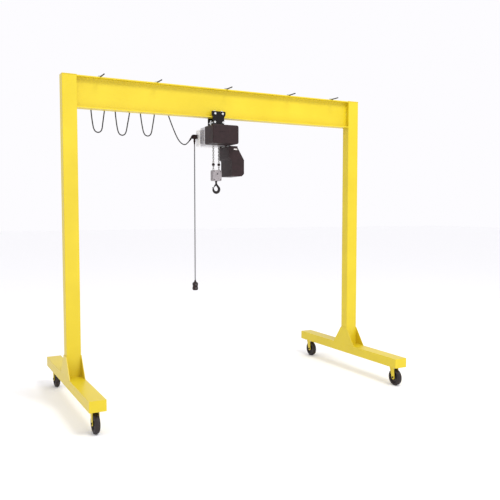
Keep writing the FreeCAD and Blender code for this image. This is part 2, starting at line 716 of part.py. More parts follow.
def gear_outline(teeth, module, thinning):
    """Corner points of a spur gear with involute flanks, a tooth centred on the Z direction."""
    pitch = teeth * module / 2
    base = pitch * math.cos(math.radians(20))
    tip = pitch + module
    root = pitch - 1.25 * module
    spread = math.tan(math.radians(20)) - math.radians(20)
    half_pitch = math.pi / (2 * teeth) - thinning / (2 * pitch) + spread
    low = max(base, root)
    flank = []
    for share in (0, 0.25, 0.5, 0.75, 1):
        radius = low + (tip - low) * share
        pressure = math.acos(min(1, base / radius))
        flank.append((radius, half_pitch - (math.tan(pressure) - pressure)))
    points = []
    for tooth in range(teeth):
        middle = 2 * math.pi * tooth / teeth
        gap = math.pi / teeth
        left = [(root, -gap + (gap - half_pitch) * 0.35)] if root < base else []
        right = [(r, -a) for r, a in reversed(left)]
        around = left + [(r, -a) for r, a in flank] + [(r, a) for r, a in reversed(flank)] + right
        for radius, angle in around:
            points.append((radius * math.sin(middle + angle), radius * math.cos(middle + angle)))
    return points


def gear_solid(teeth, x, y, z, turn):
    """A spur gear on an axis along +Y that starts at y."""
    outline = gear_outline(teeth, size("gear_module"), size("backlash_gap"))
    face = Part.Face(Part.makePolygon([Vector(u, 0, v) for u, v in outline + outline[:1]]))
    solid = face.extrude(Vector(0, size("gear_face"), 0))
    solid.rotate(Vector(), Vector(0, 1, 0), turn)
    solid.translate(Vector(x, y, z))
    return solid


def make_housing():
    x = "trolley_place"
    mid = "(housing_front + housing_rear) / 2"
    depth = "(housing_rear - housing_front)"
    shell = body()
    outline = [
        ("-housing_half", "hoist_bottom"), ("housing_half", "hoist_bottom"),
        ("housing_half", "hoist_top"), ("-housing_half", "hoist_top"),
    ]
    solid = pad(shell, sketch(shell, "XZ_Plane", outline), depth)
    rounded(shell, solid, "housing_wall", along(Vector(0, 1, 0)))
    place(shell, x, mid, 0)
    flange = box(
        "2 * face_half", "housing_wall", "housing_height - 2 * face_inset", x,
        "housing_front + housing_wall / 2", "hoist_bottom + face_inset",
    )
    fins = []
    for number in range(5):
        y = f"housing_rear - fin_pitch / 2 - {number} * fin_pitch"
        fins.append(box(
            "2 * (housing_half + fin_depth)", "fin_width", "housing_height - 2 * fin_margin", x, y,
            "hoist_bottom + fin_margin",
        ))
    chamber = box(
        "2 * (housing_half - housing_wall)", "chamber_rear - housing_front - housing_wall",
        "motor_z - hoist_bottom + shaft_radius + 8", x,
        "(chamber_rear + housing_front + housing_wall) / 2", "hoist_bottom + housing_wall",
    )
    motor_start = "chamber_rear + housing_wall"
    bore = cylinder("motor_bore", "housing_rear", x, motor_start, "motor_z", "y")
    through = [
        cylinder("drum_shaft + bearing_wall", 200, x, "housing_front - 100", "drum_z", "y"),
        cylinder("shaft_radius + bearing_wall", 200, x, "housing_front - 100", "motor_z", "y"),
    ]
    mouths = [
        box("2 * chain_slot", "2 * chain_slot", "3 * housing_wall", f"{x} + {offset}", 0,
            "hoist_bottom - housing_wall")
        for offset in ("-fall_offset", "fall_offset", "chain_outlet")
    ]
    shell = cut(fuse(shell, flange, *fins), chamber, bore, *through, *mouths)
    pin = cylinder("anchor_pin", "chamber_rear - housing_front + 2", f"{x} + fall_offset",
                   "housing_front + 1", "anchor_z - anchor_pin - loose_gap",
                   "y")
    node("hoist_housing", fuse(shell, pin))


def make_cover():
    """The black cover over the gears and the control gear, open at the back."""
    cover = body()
    back = "(housing_front - cover_gap)"
    mid = f"(cover_front + {back}) / 2"
    depth = f"({back} - cover_front)"
    outline = [
        ("-cover_half", "hoist_bottom + face_inset"),
        ("cover_half", "hoist_bottom + face_inset"),
        ("cover_half", "hoist_top"), ("-cover_half", "hoist_top"),
    ]
    solid = pad(cover, sketch(cover, "XZ_Plane", outline), depth)
    solid = rounded(cover, solid, "cover_radius", along(Vector(0, 1, 0)))
    doc.recompute()
    front = solid.Shape.BoundBox.YMin

    def front_edge(edge):
        return all(abs(vertex.Y - front) < 0.01 for vertex in edge.Vertexes)
    rounded(cover, solid, "cover_radius / 2", front_edge)
    inner = [
        ("-cover_half + cover_wall", "hoist_bottom + face_inset + cover_wall"),
        ("cover_half - cover_wall", "hoist_bottom + face_inset + cover_wall"),
        ("cover_half - cover_wall", "hoist_top - cover_wall"),
        ("-cover_half + cover_wall", "hoist_top - cover_wall"),
    ]
    place(cover, "trolley_place", mid, 0)
    hollow = body()
    block = pad(hollow, sketch(hollow, "XZ_Plane", inner), depth)
    rounded(hollow, block, "cover_radius - cover_wall", along(Vector(0, 1, 0)))
    place(hollow, "trolley_place", f"{mid} + cover_wall", 0)
    groove = box(
        "groove_length", "2 * groove_depth", "groove_height", "trolley_place - 42", "cover_front",
        "hoist_top - 75",
    )
    node("control_cover", cut(cover, hollow, groove))


def make_motor():
    x = "trolley_place"
    cover = body()
    depth = "(end_rear - housing_rear)"
    outline = [
        ("-end_half", "hoist_bottom + end_inset"), ("end_half", "hoist_bottom + end_inset"),
        ("end_half", "hoist_top - end_inset"), ("-end_half", "hoist_top - end_inset"),
    ]
    solid = pad(cover, sketch(cover, "XZ_Plane", outline), depth)
    solid = rounded(cover, solid, "end_radius", along(Vector(0, 1, 0)))
    doc.recompute()
    rear = solid.Shape.BoundBox.YMax

    def rear_edge(edge):
        return all(abs(vertex.Y - rear) < 0.01 for vertex in edge.Vertexes)
    rounded(cover, solid, "end_radius / 2", rear_edge)
    place(cover, x, f"housing_rear + {depth} / 2", 0)
    bore = cylinder("motor_bore", "bearing_place - housing_rear", x, "housing_rear", "motor_z", "y")
    seat = cylinder("shaft_radius + bearing_wall", depth, x, "bearing_place - 1", "motor_z", "y")
    fan_room = cylinder(
        "fan_radius + 6", "end_rear - bearing_place - 2 * housing_wall - 2", x,
        "bearing_place + housing_wall", "motor_z", "y",
    )
    vents = [
        box("vent_width", "4 * housing_wall", "vent_length", f"{x} + {number} * vent_pitch",
            "end_rear", "motor_z - vent_length / 2")
        for number in (-2, -1, 0, 1, 2)
    ]
    node("motor_cover", cut(cover, bore, fuse(seat, fan_room), *vents))

    stator = cut(
        fuse(
            cylinder("motor_bore - loose_gap", "stator_length", x, "stator_front", "motor_z", "y"),
            cylinder("winding_radius", "stator_length + 2 * winding_length", x,
                     "stator_front - winding_length", "motor_z", "y"),
        ),
        cylinder("stator_bore", 400, x, -100, "motor_z", "y"),
    )
    node("motor_stator", stator)

    shaft_x = size("trolley_place")
    pinion = gear_solid(
        round(size("pinion_teeth")), shaft_x, size("gear_front"), size("motor_z"), 180
    )
    rotor = fuse(
        cylinder("stator_bore - air_gap", "stator_length - 2 * winding_length", x,
                 "stator_front + winding_length", "motor_z", "y"),
        cylinder("shaft_radius", "end_rear - 26 - gear_front", x, "gear_front", "motor_z", "y"),
        shaped(pinion),
    )
    node("motor_rotor", rotor)

    fan_y = "bearing_place + housing_wall + 4"
    blades = []
    for number in range(7):
        blade = doc.addObject("Part::Box", "Blade")
        blade.setExpression("Length", bound("blade_thickness"))
        blade.setExpression("Width", bound("fan_length"))
        blade.setExpression("Height", bound("fan_radius"))
        turn = 360 / 7 * number
        blade.Placement.Rotation = Rotation(Vector(0, 1, 0), turn)
        place(blade, x, fan_y, "motor_z")
        blades.append(blade)
    hub = cylinder("fan_hub", "fan_length", x, fan_y, "motor_z", "y")
    shaft_hole = cylinder("shaft_radius", 400, x, 0, "motor_z", "y")
    node("cooling_fan", cut(fuse(hub, *blades), shaft_hole))


def make_drum():
    """The chain sheave on its shaft, the gear that drives it, and the shafts' bearings."""
    x = "trolley_place"
    shaft = cylinder("drum_shaft", "chamber_rear + housing_wall - gear_front", x, "gear_front",
                     "drum_z", "y")
    sheave = body()
    profile = [
        (0, "-sheave_half"), ("sheave_flange", "-sheave_half"), ("sheave_flange", "-groove_half"),
        ("groove_floor", "-groove_half"), ("groove_floor", "groove_half"),
        ("sheave_flange", "groove_half"), ("sheave_flange", "sheave_half"), (0, "sheave_half"),
    ]
    revolve(sheave, sketch(sheave, "XZ_Plane", profile), "V_Axis")
    place(sheave, x, 0, "drum_z", Rotation(Vector(1, 0, 0), -90))
    node("load_sheave", fuse(sheave, shaft))

    teeth = round(size("wheel_teeth"))
    wheel = gear_solid(
        teeth, size("trolley_place"), size("gear_front"), size("drum_z"), 180 / teeth
    )
    bore = cylinder("drum_shaft", 200, x, "housing_front - 100", "drum_z", "y")
    node("output_gear", cut(shaped(wheel), bore))

    rings = []
    for radius, y, z in (
        ("drum_shaft", "housing_front", "drum_z"), ("drum_shaft", "chamber_rear", "drum_z"),
        ("shaft_radius", "housing_front", "motor_z"), ("shaft_radius", "chamber_rear", "motor_z"),
        ("shaft_radius", "bearing_place", "motor_z"),
    ):
        rings.append(cut(
            cylinder(f"{radius} + bearing_wall", "housing_wall", x, y, z, "y"),
            cylinder(f"{radius} + running_gap", "housing_wall", x, y, z, "y"),
        ))
    node("shaft_bearings", group(*rings))


def make_bucket():
    bucket = body()

    def profile(wall, top):
        return [
            (f"{wall}", top),
            (f"{wall}", f"-bucket_step - {wall} / 2"),
            (f"bucket_notch + {wall}", f"-bucket_ledge - {wall} / 2"),
            (f"bucket_notch + {wall}", f"{wall} - bucket_height"),
            (f"bucket_length - bucket_toe - {wall} / 2", f"{wall} - bucket_height"),
            (f"bucket_length - {wall}", f"bucket_toe + {wall} / 2 - bucket_height"),
            (f"bucket_length - {wall}", f"-bucket_knee - {wall} / 2"),
            (f"bucket_slope - {wall}", f"-bucket_shoulder - {wall} / 2"),
            (f"bucket_slope - {wall}", top),
        ]
    solid = pad(bucket, sketch(bucket, "XZ_Plane", profile("0", "0")), "bucket_depth")
    rounded(bucket, solid, "bucket_radius / 2", along(Vector(0, 1, 0)))
    inner = sketch(bucket, "XZ_Plane", profile("bucket_wall", "bucket_wall"))
    pocket(bucket, inner, "bucket_depth - 2 * bucket_wall")
    place(bucket, "trolley_place + bucket_near", 0, "bucket_top")
    ears = [
        box("housing_half - bucket_near - 4", "bucket_wall",
            "hoist_bottom - bucket_top + 30",
            "trolley_place + (housing_half + bucket_near) / 2", y, "bucket_top - 30")
        for y in ("housing_front + 20", "housing_rear - 20")
    ]
    node("chain_bucket", fuse(bucket, *ears))


# --- chain, hook block, hook and latch --------------------------------------------------------

def chain_path():
    """The chain's centreline: anchor, block sheave, load sheave, and out over the bucket."""
    x = size("trolley_place")
    fall = size("fall_offset")
    low = size("block_axle")
    high = size("drum_z")
    across = size("chain_outlet")
    leave = math.radians(70)
    reach = Vector(fall * math.cos(leave), 0, fall * math.sin(leave))
    over = Vector(fall * math.cos(leave / 2), 0, fall * math.sin(leave / 2))
    sheave = Vector(x, 0, high)
    drop = (across - fall) / math.tan(leave)
    guide = Vector(x + across - fall, 0, high - drop)
    outlet_top = guide + Vector(fall, 0, 0)
    anchor = size("anchor_z")
    bucket_end = Vector(outlet_top.x, 0, size("bucket_top") - 20)
    return Part.Wire([
        Part.makeLine(Vector(x + fall, 0, anchor), Vector(x + fall, 0, low)),
        Part.Arc(Vector(x + fall, 0, low), Vector(x, 0, low - fall),
                 Vector(x - fall, 0, low)).toShape(),
        Part.makeLine(Vector(x - fall, 0, low), Vector(x - fall, 0, high)),
        Part.Arc(Vector(x - fall, 0, high), sheave + Vector(0, 0, fall),
                 sheave + reach).toShape(),
        Part.makeLine(sheave + reach, guide + reach),
        Part.Arc(guide + reach, guide + over, outlet_top).toShape(),
        Part.makeLine(outlet_top, bucket_end),
    ])


def chain_link():
    """One link along Z, its ends inside half a pitch plus the wire."""
    wire = size("chain_wire") / 2
    bend = size("link_width") / 2 - wire
    straight = size("chain_pitch") / 2 + size("chain_play") / 2 + wire - bend
    up = Vector(0, 0, straight)
    out = Vector(bend, 0, 0)
    over = Vector(0, 0, straight + bend)
    path = Part.Wire([
        Part.makeLine(out - up, out + up), Part.Arc(out + up, over, up - out).toShape(),
        Part.makeLine(up - out, Vector() - up - out),
        Part.Arc(Vector() - up - out, Vector() - over, out - up).toShape(),
    ])
    section = Part.Wire(Part.makeCircle(wire, out, Vector(0, 0, 1)))
    return path.makePipeShell([section], True, True)


def next_pivot(points, here, chord):
    """The first place further along the points that is a chord away, and its index."""
    last, index = points[here[1]], here[1]
    while index < len(points) and (points[index] - here[0]).Length < chord:
        last, index = points[index], index + 1
    if index == len(points):
        return None
    short, long = (last - here[0]).Length, (points[index] - here[0]).Length
    share = (chord - short) / (long - short)
    return last + (points[index] - last) * share, index


def make_chain():
    path = chain_path()
    points = path.discretize(Number=6001)
    # an upright link swings about its wire's middle, inside the bend of the flat one
    upright = size("chain_pitch") + size("chain_play") + size("chain_wire")
    flat = 2 * size("chain_pitch") - upright
    here = next_pivot(points, (points[0], 0), (size("chain_pitch") - flat) / 2)
    link = chain_link()
    links = []
    while True:
        odd = len(links) % 2
        there = next_pivot(points, here, upright if odd else flat)
        if there is None:
            break
        turn = Rotation(Vector(0, 0, 1), there[0] - here[0])
        roll = Rotation(Vector(0, 0, 1), 90 * odd)
        copy = link.copy()
        copy.Placement = Placement((here[0] + there[0]) / 2, turn * roll)
        links.append(copy)
        here = there
    node("load_chain", shaped(Part.Compound(links)))


def make_block():
    x = "trolley_place"
    shell = body()
    outline = [
        ("-block_half", "block_bottom"), ("block_half", "block_bottom"),
        ("block_half", "block_top"), ("-block_half", "block_top"),
    ]
    solid = pad(shell, sketch(shell, "XZ_Plane", outline), "block_depth")
    rounded(shell, solid, "block_radius", along(Vector(0, 1, 0)))
    place(shell, x, 0, 0)
    floor = "block_bottom + block_floor"
    cavity = box("2 * (block_half - block_wall)", "block_cavity", "block_height", x, 0, floor)
    holes = [
        cylinder("trunnion_radius + running_gap", "2 * block_depth", x, "-block_depth",
                 "block_axle", "y"),
        cylinder("shank_radius + running_gap", "block_height", x, 0, "block_bottom - 10"),
    ]
    node("hook_block_shell", cut(shell, cavity, *holes))

    sheave = body()
    half = "block_cavity / 2 - side_gap"
    flange = "sheave_flange - side_gap"
    profile = [
        (0, "-block_depth / 2"), ("trunnion_radius", "-block_depth / 2"),
        ("trunnion_radius", f"-({half})"), (flange, f"-({half})"), (flange, "-groove_half"),
        ("groove_floor", "-groove_half"), ("groove_floor", "groove_half"),
        (flange, "groove_half"), (flange, half), ("trunnion_radius", half),
        ("trunnion_radius", "block_depth / 2"), (0, "block_depth / 2"),
    ]
    revolve(sheave, sketch(sheave, "XZ_Plane", profile), "V_Axis")
    place(sheave, x, 0, "block_axle", Rotation(Vector(1, 0, 0), -90))
    node("block_sheave", sheave)

    stoppers = []
    for side in (-1, 1):
        ball = doc.addObject("Part::Sphere", "Ball")
        ball.setExpression("Radius", bound("stopper_radius"))
        fall_x = f"{x} + {side} * fall_offset"
        place(ball, fall_x, 0, "block_top + stopper_rise")
        bore = cylinder("link_width / 2 + running_gap", "3 * stopper_radius", fall_x, 0,
                        "block_top + stopper_rise - 1.5 * stopper_radius")
        stoppers.append(cut(ball, bore))
    node("chain_stoppers", group(*stoppers))


def make_hook():
    """The swivel hook: stations down the shank and round the bowl, each a round section."""
    x = size("trolley_place")
    top = size("block_bottom")
    centre = Vector(x, 0, top - size("hook_drop"))
    bowl = size("hook_radius")
    shank = size("shank_radius")
    stations = [
        (Vector(x, 0, top - 6), Vector(0, 0, -1), shank),
        (Vector(x, 0, top - 22), Vector(0, 0, -1), shank - 1),
        (Vector(x + 6, 0, top - 38), Vector(0.5, 0, -1), shank - 0.5),
    ]
    for degrees, radius in (
        (42, 11.5), (18, 12.5), (-8, 13), (-36, 13.5), (-64, 13.5), (-92, 13.5), (-120, 12.5),
        (-146, 11.5), (-170, 10), (-190, 8),
    ):
        angle = math.radians(degrees)
        spot = centre + Vector(bowl * math.cos(angle), 0, bowl * math.sin(angle))
        stations.append((spot, Vector(math.sin(angle), 0, -math.cos(angle)), radius))
    tip = stations[-1][0] + Vector(-7, 0, 13)
    stations.append((tip, Vector(-0.5, 0, 0.9), 5))
    rings = [Part.Wire(Part.makeCircle(r, spot, way)) for spot, way, r in stations]
    horn = shaped(Part.makeLoft(rings, True, False))
    floor = "block_bottom + block_floor"
    stem = cylinder("shank_radius", "block_floor + 10", "trolley_place", 0,
                    "block_bottom - 10")
    nut = hexagon("swivel_nut", "swivel_height", "trolley_place", 0, f"{floor} + rolling_gap")
    neck = cylinder("shank_radius", "swivel_height + rolling_gap", "trolley_place", 0,
                    "block_bottom + block_floor - 1")
    collar = cylinder("shank_radius + 4", 5, "trolley_place", 0, "block_bottom - 5.3")
    pin_x = f"trolley_place + {latch_place[0]}"
    pin_z = f"block_bottom - {latch_place[1]}"
    hole = cylinder("latch_pin + running_gap", 60, pin_x, -30, pin_z, "y")
    node("load_hook", cut(fuse(horn, stem, nut, neck, collar), hole))

    pin = cylinder("latch_pin", 28, pin_x, -14, pin_z, "y")
    side = "latch_thickness"
    plates = []
    for y in (-13, 13):
        cheek = doc.addObject("Part::Box", "Cheek")
        cheek.setExpression("Length", "32")
        cheek.setExpression("Width", bound(side))
        cheek.setExpression("Height", "9")
        plates.append((cheek, -4, f"{y} - {side} / 2", -4.5))
    tongue = doc.addObject("Part::Box", "Tongue")
    tongue.setExpression("Length", str(latch_length - 24))
    tongue.setExpression("Width", bound(f"26 + {side}"))
    tongue.setExpression("Height", bound(side))
    plates.append((tongue, 24, f"-13 - {side} / 2", "-latch_thickness / 2"))
    turn = Rotation(Vector(0, 1, 0), latch_angle)
    for plate, u, y, w in plates:
        plate.setExpression("Placement.Base.x", bound(u))
        plate.setExpression("Placement.Base.y", bound(y))
        plate.setExpression("Placement.Base.z", bound(w))
    flat = fuse(*[plate for plate, *_ in plates])
    place(flat, pin_x, 0, pin_z, turn)
    node("hook_latch", fuse(flat, pin))


# where the latch turns, right of the hook's axis and below the block, and how it lies
latch_place = (2, 30)
latch_length = 50
latch_angle = 128


# --- cable entry, pendant cable, pendant and buttons ------------------------------------------

def make_entry():
    block = box(
        "2 * entry_half + 10", "2 * entry_half", "entry_height",
        "trolley_place - end_half - entry_half - 5", "entry_y", "entry_bottom",
    )
    down = cylinder("gland_radius", "gland_length", "entry_x", "entry_y",
                    "entry_bottom - gland_length")
    side = doc.addObject("Part::Cone", "Gland")
    side.setExpression("Radius1", bound("gland_radius + 1"))
    side.setExpression("Radius2", bound("cable_radius + 2"))
    side.setExpression("Height", bound("side_gland_length"))
    turn = Rotation(Vector(0, 0, 1), cable_route[-2] - gland_root)
    place(side, "entry_x - side_gland_out", "entry_y + side_gland_back",
          "entry_bottom + side_gland_up", turn)
    node("cable_entry", fuse(block, down, side))


def make_pendant():
    top = "(pendant_top + boot_height)"
    start = "(entry_bottom - gland_length)"
    node("pendant_cable", cylinder("cable_radius", f"{start} - {top}", "entry_x", "entry_y", top))

    case = body()
    bottom = "pendant_top - pendant_height"
    outline = [
        ("-pendant_half + 8", bottom), ("pendant_half - 8", bottom),
        ("pendant_half", f"{bottom} + 8"), ("pendant_half", f"{bottom} + 30"),
        ("waist_half", f"{bottom} + 46"), ("pendant_half", f"{bottom} + 62"),
        ("pendant_half", "pendant_top - 14"), ("pendant_half - 14", "pendant_top"),
        ("-pendant_half + 14", "pendant_top"), ("-pendant_half", "pendant_top - 14"),
        ("-pendant_half", f"{bottom} + 62"), ("-waist_half", f"{bottom} + 46"),
        ("-pendant_half", f"{bottom} + 30"), ("-pendant_half", f"{bottom} + 8"),
    ]
    pad(case, sketch(case, "XZ_Plane", outline), "pendant_depth")
    place(case, "entry_x", "entry_y", 0)
    boot = doc.addObject("Part::Cone", "Boot")
    boot.setExpression("Radius1", bound("waist_half / 2 + 2"))
    boot.setExpression("Radius2", bound("cable_radius + 1"))
    boot.setExpression("Height", bound("boot_height"))
    place(boot, "entry_x", "entry_y", "pendant_top")
    middle = "pendant_top - pendant_height / 2 - 1"
    spots = {"up": f"{middle} + button_pitch / 2", "down": f"{middle} - button_pitch / 2"}
    wells = [
        cylinder("button_radius + button_gap", "button_well + 1", "entry_x", "pendant_front - 1", z, "y")
        for z in spots.values()
    ]
    node("pendant_case", cut(fuse(case, boot), *wells))
    for name, z in spots.items():
        button = cylinder("button_radius", "button_proud + button_length", "entry_x",
                          "pendant_front - button_proud", z, "y")
        node(f"{name}_button", button)


make_frame()
make_casters()
make_festoon()
make_trolley()
make_housing()
make_cover()
make_motor()
make_drum()
make_bucket()
make_chain()
make_block()
make_hook()
make_entry()
make_pendant()
doc.recompute()

faults = [item.Name for item in doc.Objects if {"Invalid", "Error"} & set(item.State)]
for label, item in nodes.items():
    shape = item.Shape
    if shape.isNull() or not shape.isValid() or not shape.Solids:
        faults.append(label)
if faults:
    raise RuntimeError("failed: " + ", ".join(faults))
os.makedirs("parts", exist_ok=True)
for label, item in nodes.items():
    item.Shape.exportStep(f"parts/{label}.step")
print(len(nodes), "nodes,", sum(len(item.Shape.Solids) for item in nodes.values()), "solids")
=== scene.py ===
import math

import bmesh
import bpy
from mathutils import Matrix, Vector


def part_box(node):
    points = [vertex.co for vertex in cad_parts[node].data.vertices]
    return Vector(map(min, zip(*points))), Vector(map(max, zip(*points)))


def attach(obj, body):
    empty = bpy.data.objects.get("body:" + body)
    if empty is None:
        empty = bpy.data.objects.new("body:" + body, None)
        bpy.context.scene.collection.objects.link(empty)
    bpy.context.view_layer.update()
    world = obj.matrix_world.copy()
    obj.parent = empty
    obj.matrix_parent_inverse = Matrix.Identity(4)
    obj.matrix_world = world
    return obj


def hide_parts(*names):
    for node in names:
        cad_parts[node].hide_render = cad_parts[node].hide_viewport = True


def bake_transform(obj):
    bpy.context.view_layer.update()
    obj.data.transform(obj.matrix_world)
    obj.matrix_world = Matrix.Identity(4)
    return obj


# Portable gantry crane. Metres, +Z up, the beam along X, the supply rail behind it at +Y.

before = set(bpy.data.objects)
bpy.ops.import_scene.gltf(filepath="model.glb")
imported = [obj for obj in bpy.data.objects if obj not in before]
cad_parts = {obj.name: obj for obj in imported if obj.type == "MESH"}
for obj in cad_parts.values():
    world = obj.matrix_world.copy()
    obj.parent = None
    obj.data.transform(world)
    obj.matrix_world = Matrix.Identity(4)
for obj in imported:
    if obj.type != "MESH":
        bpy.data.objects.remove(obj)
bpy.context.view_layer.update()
scene = bpy.context.scene

cameraSizes = {"place": (-2.986, -6.228, 1.899), "yaw": 27.81, "pitch": 3.416, "lens": 45.96,
               "sensor": 36, "farClip": 200}


def makeCamera(s):
    data = bpy.data.cameras.new("Camera")
    data.lens = s["lens"]
    data.sensor_width = s["sensor"]
    data.clip_end = s["farClip"]
    camera = bpy.data.objects.new("Camera", data)
    yaw, pitch = math.radians(s["yaw"]), math.radians(s["pitch"])
    ahead = Vector((math.sin(yaw) * math.cos(pitch), math.cos(yaw) * math.cos(pitch),
                    -math.sin(pitch)))
    turn = ahead.to_track_quat("-Z", "Y").to_matrix().to_4x4()
    camera.matrix_world = Matrix.Translation(s["place"]) @ turn
    scene.collection.objects.link(camera)
    scene.camera = camera


makeCamera(cameraSizes)


def linear(text):
    # a hex colour as the linear values that the nodes take
    channels = [int(text[i:i + 2], 16) / 255 for i in (1, 3, 5)]
    curved = [c / 12.92 if c <= 0.04045 else ((c + 0.055) / 1.055) ** 2.4 for c in channels]
    return (*curved, 1.0)


def addNode(tree, kind, values=None, links=None, **settings):
    node = tree.nodes.new(kind)
    for name, value in settings.items():
        setattr(node, name, value)
    for socket, value in (values or {}).items():
        node.inputs[socket].default_value = value
    for socket, source in (links or {}).items():
        tree.links.new(source, node.inputs[socket])
    return node


# shared by every finish: where its two colours end, the noises' detail, the relief, the coat
mixSizes = {"ramp": (0.3, 0.7), "cloudDetail": 3.0, "textureDetail": 2.0, "relief": 0.5,
            "coatRough": 0.2}


def makeFinish(name, light, dark, patch, grain, bump, rough, metallic=0.0, coat=0.0, shine=0.5):
    # patch and grain are sizes in metres: slow colour change, and the fine surface texture
    material = bpy.data.materials.new(name)
    material.use_nodes = True
    tree = material.node_tree
    tree.nodes.clear()
    where = addNode(tree, "ShaderNodeTexCoord").outputs["Object"]
    cloud = addNode(tree, "ShaderNodeTexNoise",
                    {"Scale": 1 / patch, "Detail": mixSizes["cloudDetail"]}, {"Vector": where})
    tint = addNode(tree, "ShaderNodeValToRGB", links={"Fac": cloud.outputs["Fac"]})
    for stop, place, colour in zip(tint.color_ramp.elements, mixSizes["ramp"], (dark, light)):
        stop.position = place
        stop.color = linear(colour)
    texture = addNode(tree, "ShaderNodeTexNoise",
                      {"Scale": 1 / grain, "Detail": mixSizes["textureDetail"]},
                      {"Vector": where})
    gloss = addNode(tree, "ShaderNodeMapRange", {"To Min": rough[0], "To Max": rough[1]},
                    {"Value": cloud.outputs["Fac"]})
    relief = addNode(tree, "ShaderNodeBump",
                     {"Strength": mixSizes["relief"], "Distance": bump},
                     {"Height": texture.outputs["Fac"]})
    shader = addNode(
        tree, "ShaderNodeBsdfPrincipled",
        {"Metallic": metallic, "Coat Weight": coat, "Coat Roughness": mixSizes["coatRough"],
         "Specular IOR Level": shine},
        {"Base Color": tint.outputs["Color"], "Roughness": gloss.outputs["Result"],
         "Normal": relief.outputs["Normal"]},
    )
    addNode(tree, "ShaderNodeOutputMaterial", links={"Surface": shader.outputs["BSDF"]})
    return material


# light and dark colour, patch, grain, bump, roughness range, and what else differs
finishRows = {
    # powder coat on steel: even lemon yellow with a faint orange peel
    "yellowPowderCoat": ("#D7C022", "#D0B81B", 0.35, 0.004, 0.0002, (0.34, 0.46),
                         {"coat": 0.08, "shine": 0.35}),
    # glass-filled nylon, moulded: dull brown-black with a fine spark texture
    "blackNylon": ("#2E1F21", "#25191A", 0.05, 0.0012, 0.00015, (0.42, 0.6), {"shine": 0.2}),
    # die-cast aluminium, bead blasted: pale satin, faintly mottled
    "castAluminium": ("#D2D0D1", "#BCBABC", 0.03, 0.0015, 0.00012, (0.36, 0.5),
                      {"metallic": 1.0}),
    # sand-cast zinc on the hook block: greyer and rougher than the hoist
    "castZinc": ("#A9A3A5", "#8E888A", 0.015, 0.0015, 0.00025, (0.42, 0.6), {"metallic": 1.0}),
    # stove enamel over the motor: off-white, smooth
    "whiteEnamel": ("#EFEFF0", "#E6E6E8", 0.08, 0.003, 0.0001, (0.28, 0.38), {"coat": 0.3}),
    # zinc-plated steel: bright, blotchy from the bath
    "zincPlate": ("#D2D3D2", "#B3B5B4", 0.012, 0.001, 0.00006, (0.22, 0.4), {"metallic": 1.0}),
    # black-oxide steel: oily near-black with a soft sheen
    "blackOxide": ("#3A3838", "#262525", 0.01, 0.0008, 0.00006, (0.34, 0.5),
                   {"metallic": 1.0}),
    # black paint brushed on plate: near black, low sheen
    "blackPaint": ("#1B1617", "#120E0F", 0.03, 0.002, 0.0001, (0.35, 0.5), {"shine": 0.15}),
    # cast polyurethane tyre: dark, slightly blotched
    "tyrePolyurethane": ("#271C1D", "#150E0F", 0.015, 0.0015, 0.0002, (0.45, 0.65),
                         {"shine": 0.4}),
    # drop-forged alloy steel, sand-blasted and oiled
    "forgedSteel": ("#3B3738", "#242122", 0.01, 0.0012, 0.00015, (0.38, 0.55),
                    {"metallic": 1.0}),
    # case-hardened, plated chain: bright with dull spots
    "platedSteel": ("#C9C8C6", "#94928F", 0.006, 0.0008, 0.00005, (0.2, 0.36),
                    {"metallic": 1.0}),
    # PVC jacket, black: slightly rippled over the cores
    "blackPvc": ("#151213", "#0E0B0C", 0.03, 0.004, 0.0002, (0.4, 0.55), {}),
    # PVC jacket, grey
    "greyPvc": ("#6B6B6E", "#5C5C5F", 0.03, 0.004, 0.0002, (0.42, 0.55), {}),
    # laminated core and enamelled copper, seen only inside the motor
    "enamelledCopper": ("#B5764A", "#8E5632", 0.004, 0.0009, 0.0002, (0.3, 0.45),
                        {"metallic": 1.0}),
    # rubber key caps: dark grey, matte
    "keyRubber": ("#4A4748", "#3C393A", 0.01, 0.0007, 0.00005, (0.45, 0.55), {}),
    # printed foil: pale and flat
    "printedFoil": ("#D8D3CF", "#CCC6C1", 0.02, 0.001, 0.00003, (0.3, 0.42), {}),
}
finishes = {name: makeFinish(name, *row, **more) for name, (*row, more) in finishRows.items()}
# the record's slot that each finish belongs to
# a node takes the finish of the longest of these that its name holds
nodeFinish = {
    "yellowPowderCoat": ["foot_tube", "foot_end_plates", "post", "post_caps", "gusset_plates",
                         "main_beam", "fork", "caster_mounts"],
    "blackNylon": ["rail_end_fittings", "cable_slider", "control_cover", "chain_bucket",
                   "cooling_fan", "chain_stoppers", "cable_entry", "pendant_case"],
    "castAluminium": ["hoist_housing"], "castZinc": ["hook_block_shell"],
    "whiteEnamel": ["motor_cover"],
    "zincPlate": ["arm_saddles", "rail_hangers", "festoon_rail", "tie_bolts", "trolley_axles",
                  "suspension_lug", "shaft_bearings", "output_gear", "load_sheave",
                  "trolley_front_left_wheel", "trolley_front_right_wheel",
                  "trolley_rear_left_wheel", "trolley_rear_right_wheel"],
    "blackOxide": ["festoon_arms", "hook_latch", "_axle", "motor_rotor", "block_sheave"],
    "blackPaint": ["trolley_front_plate", "trolley_rear_plate"],
    "tyrePolyurethane": ["left_front_wheel", "left_rear_wheel", "right_front_wheel",
                         "right_rear_wheel"],
    "forgedSteel": ["load_hook"], "platedSteel": ["load_chain"],
    "blackPvc": ["festoon_cable"], "greyPvc": ["pendant_cable"],
    "enamelledCopper": ["motor_stator"], "keyRubber": ["up_button", "down_button"],
}


def dressNodes():
    for node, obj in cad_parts.items():
        matches = [(len(part), finish) for finish, parts in nodeFinish.items()
                   for part in parts if part in node]
        material = finishes[max(matches)[1]]
        for slot in obj.material_slots:
            slot.material = material


dressNodes()
print("stage: camera and materials")


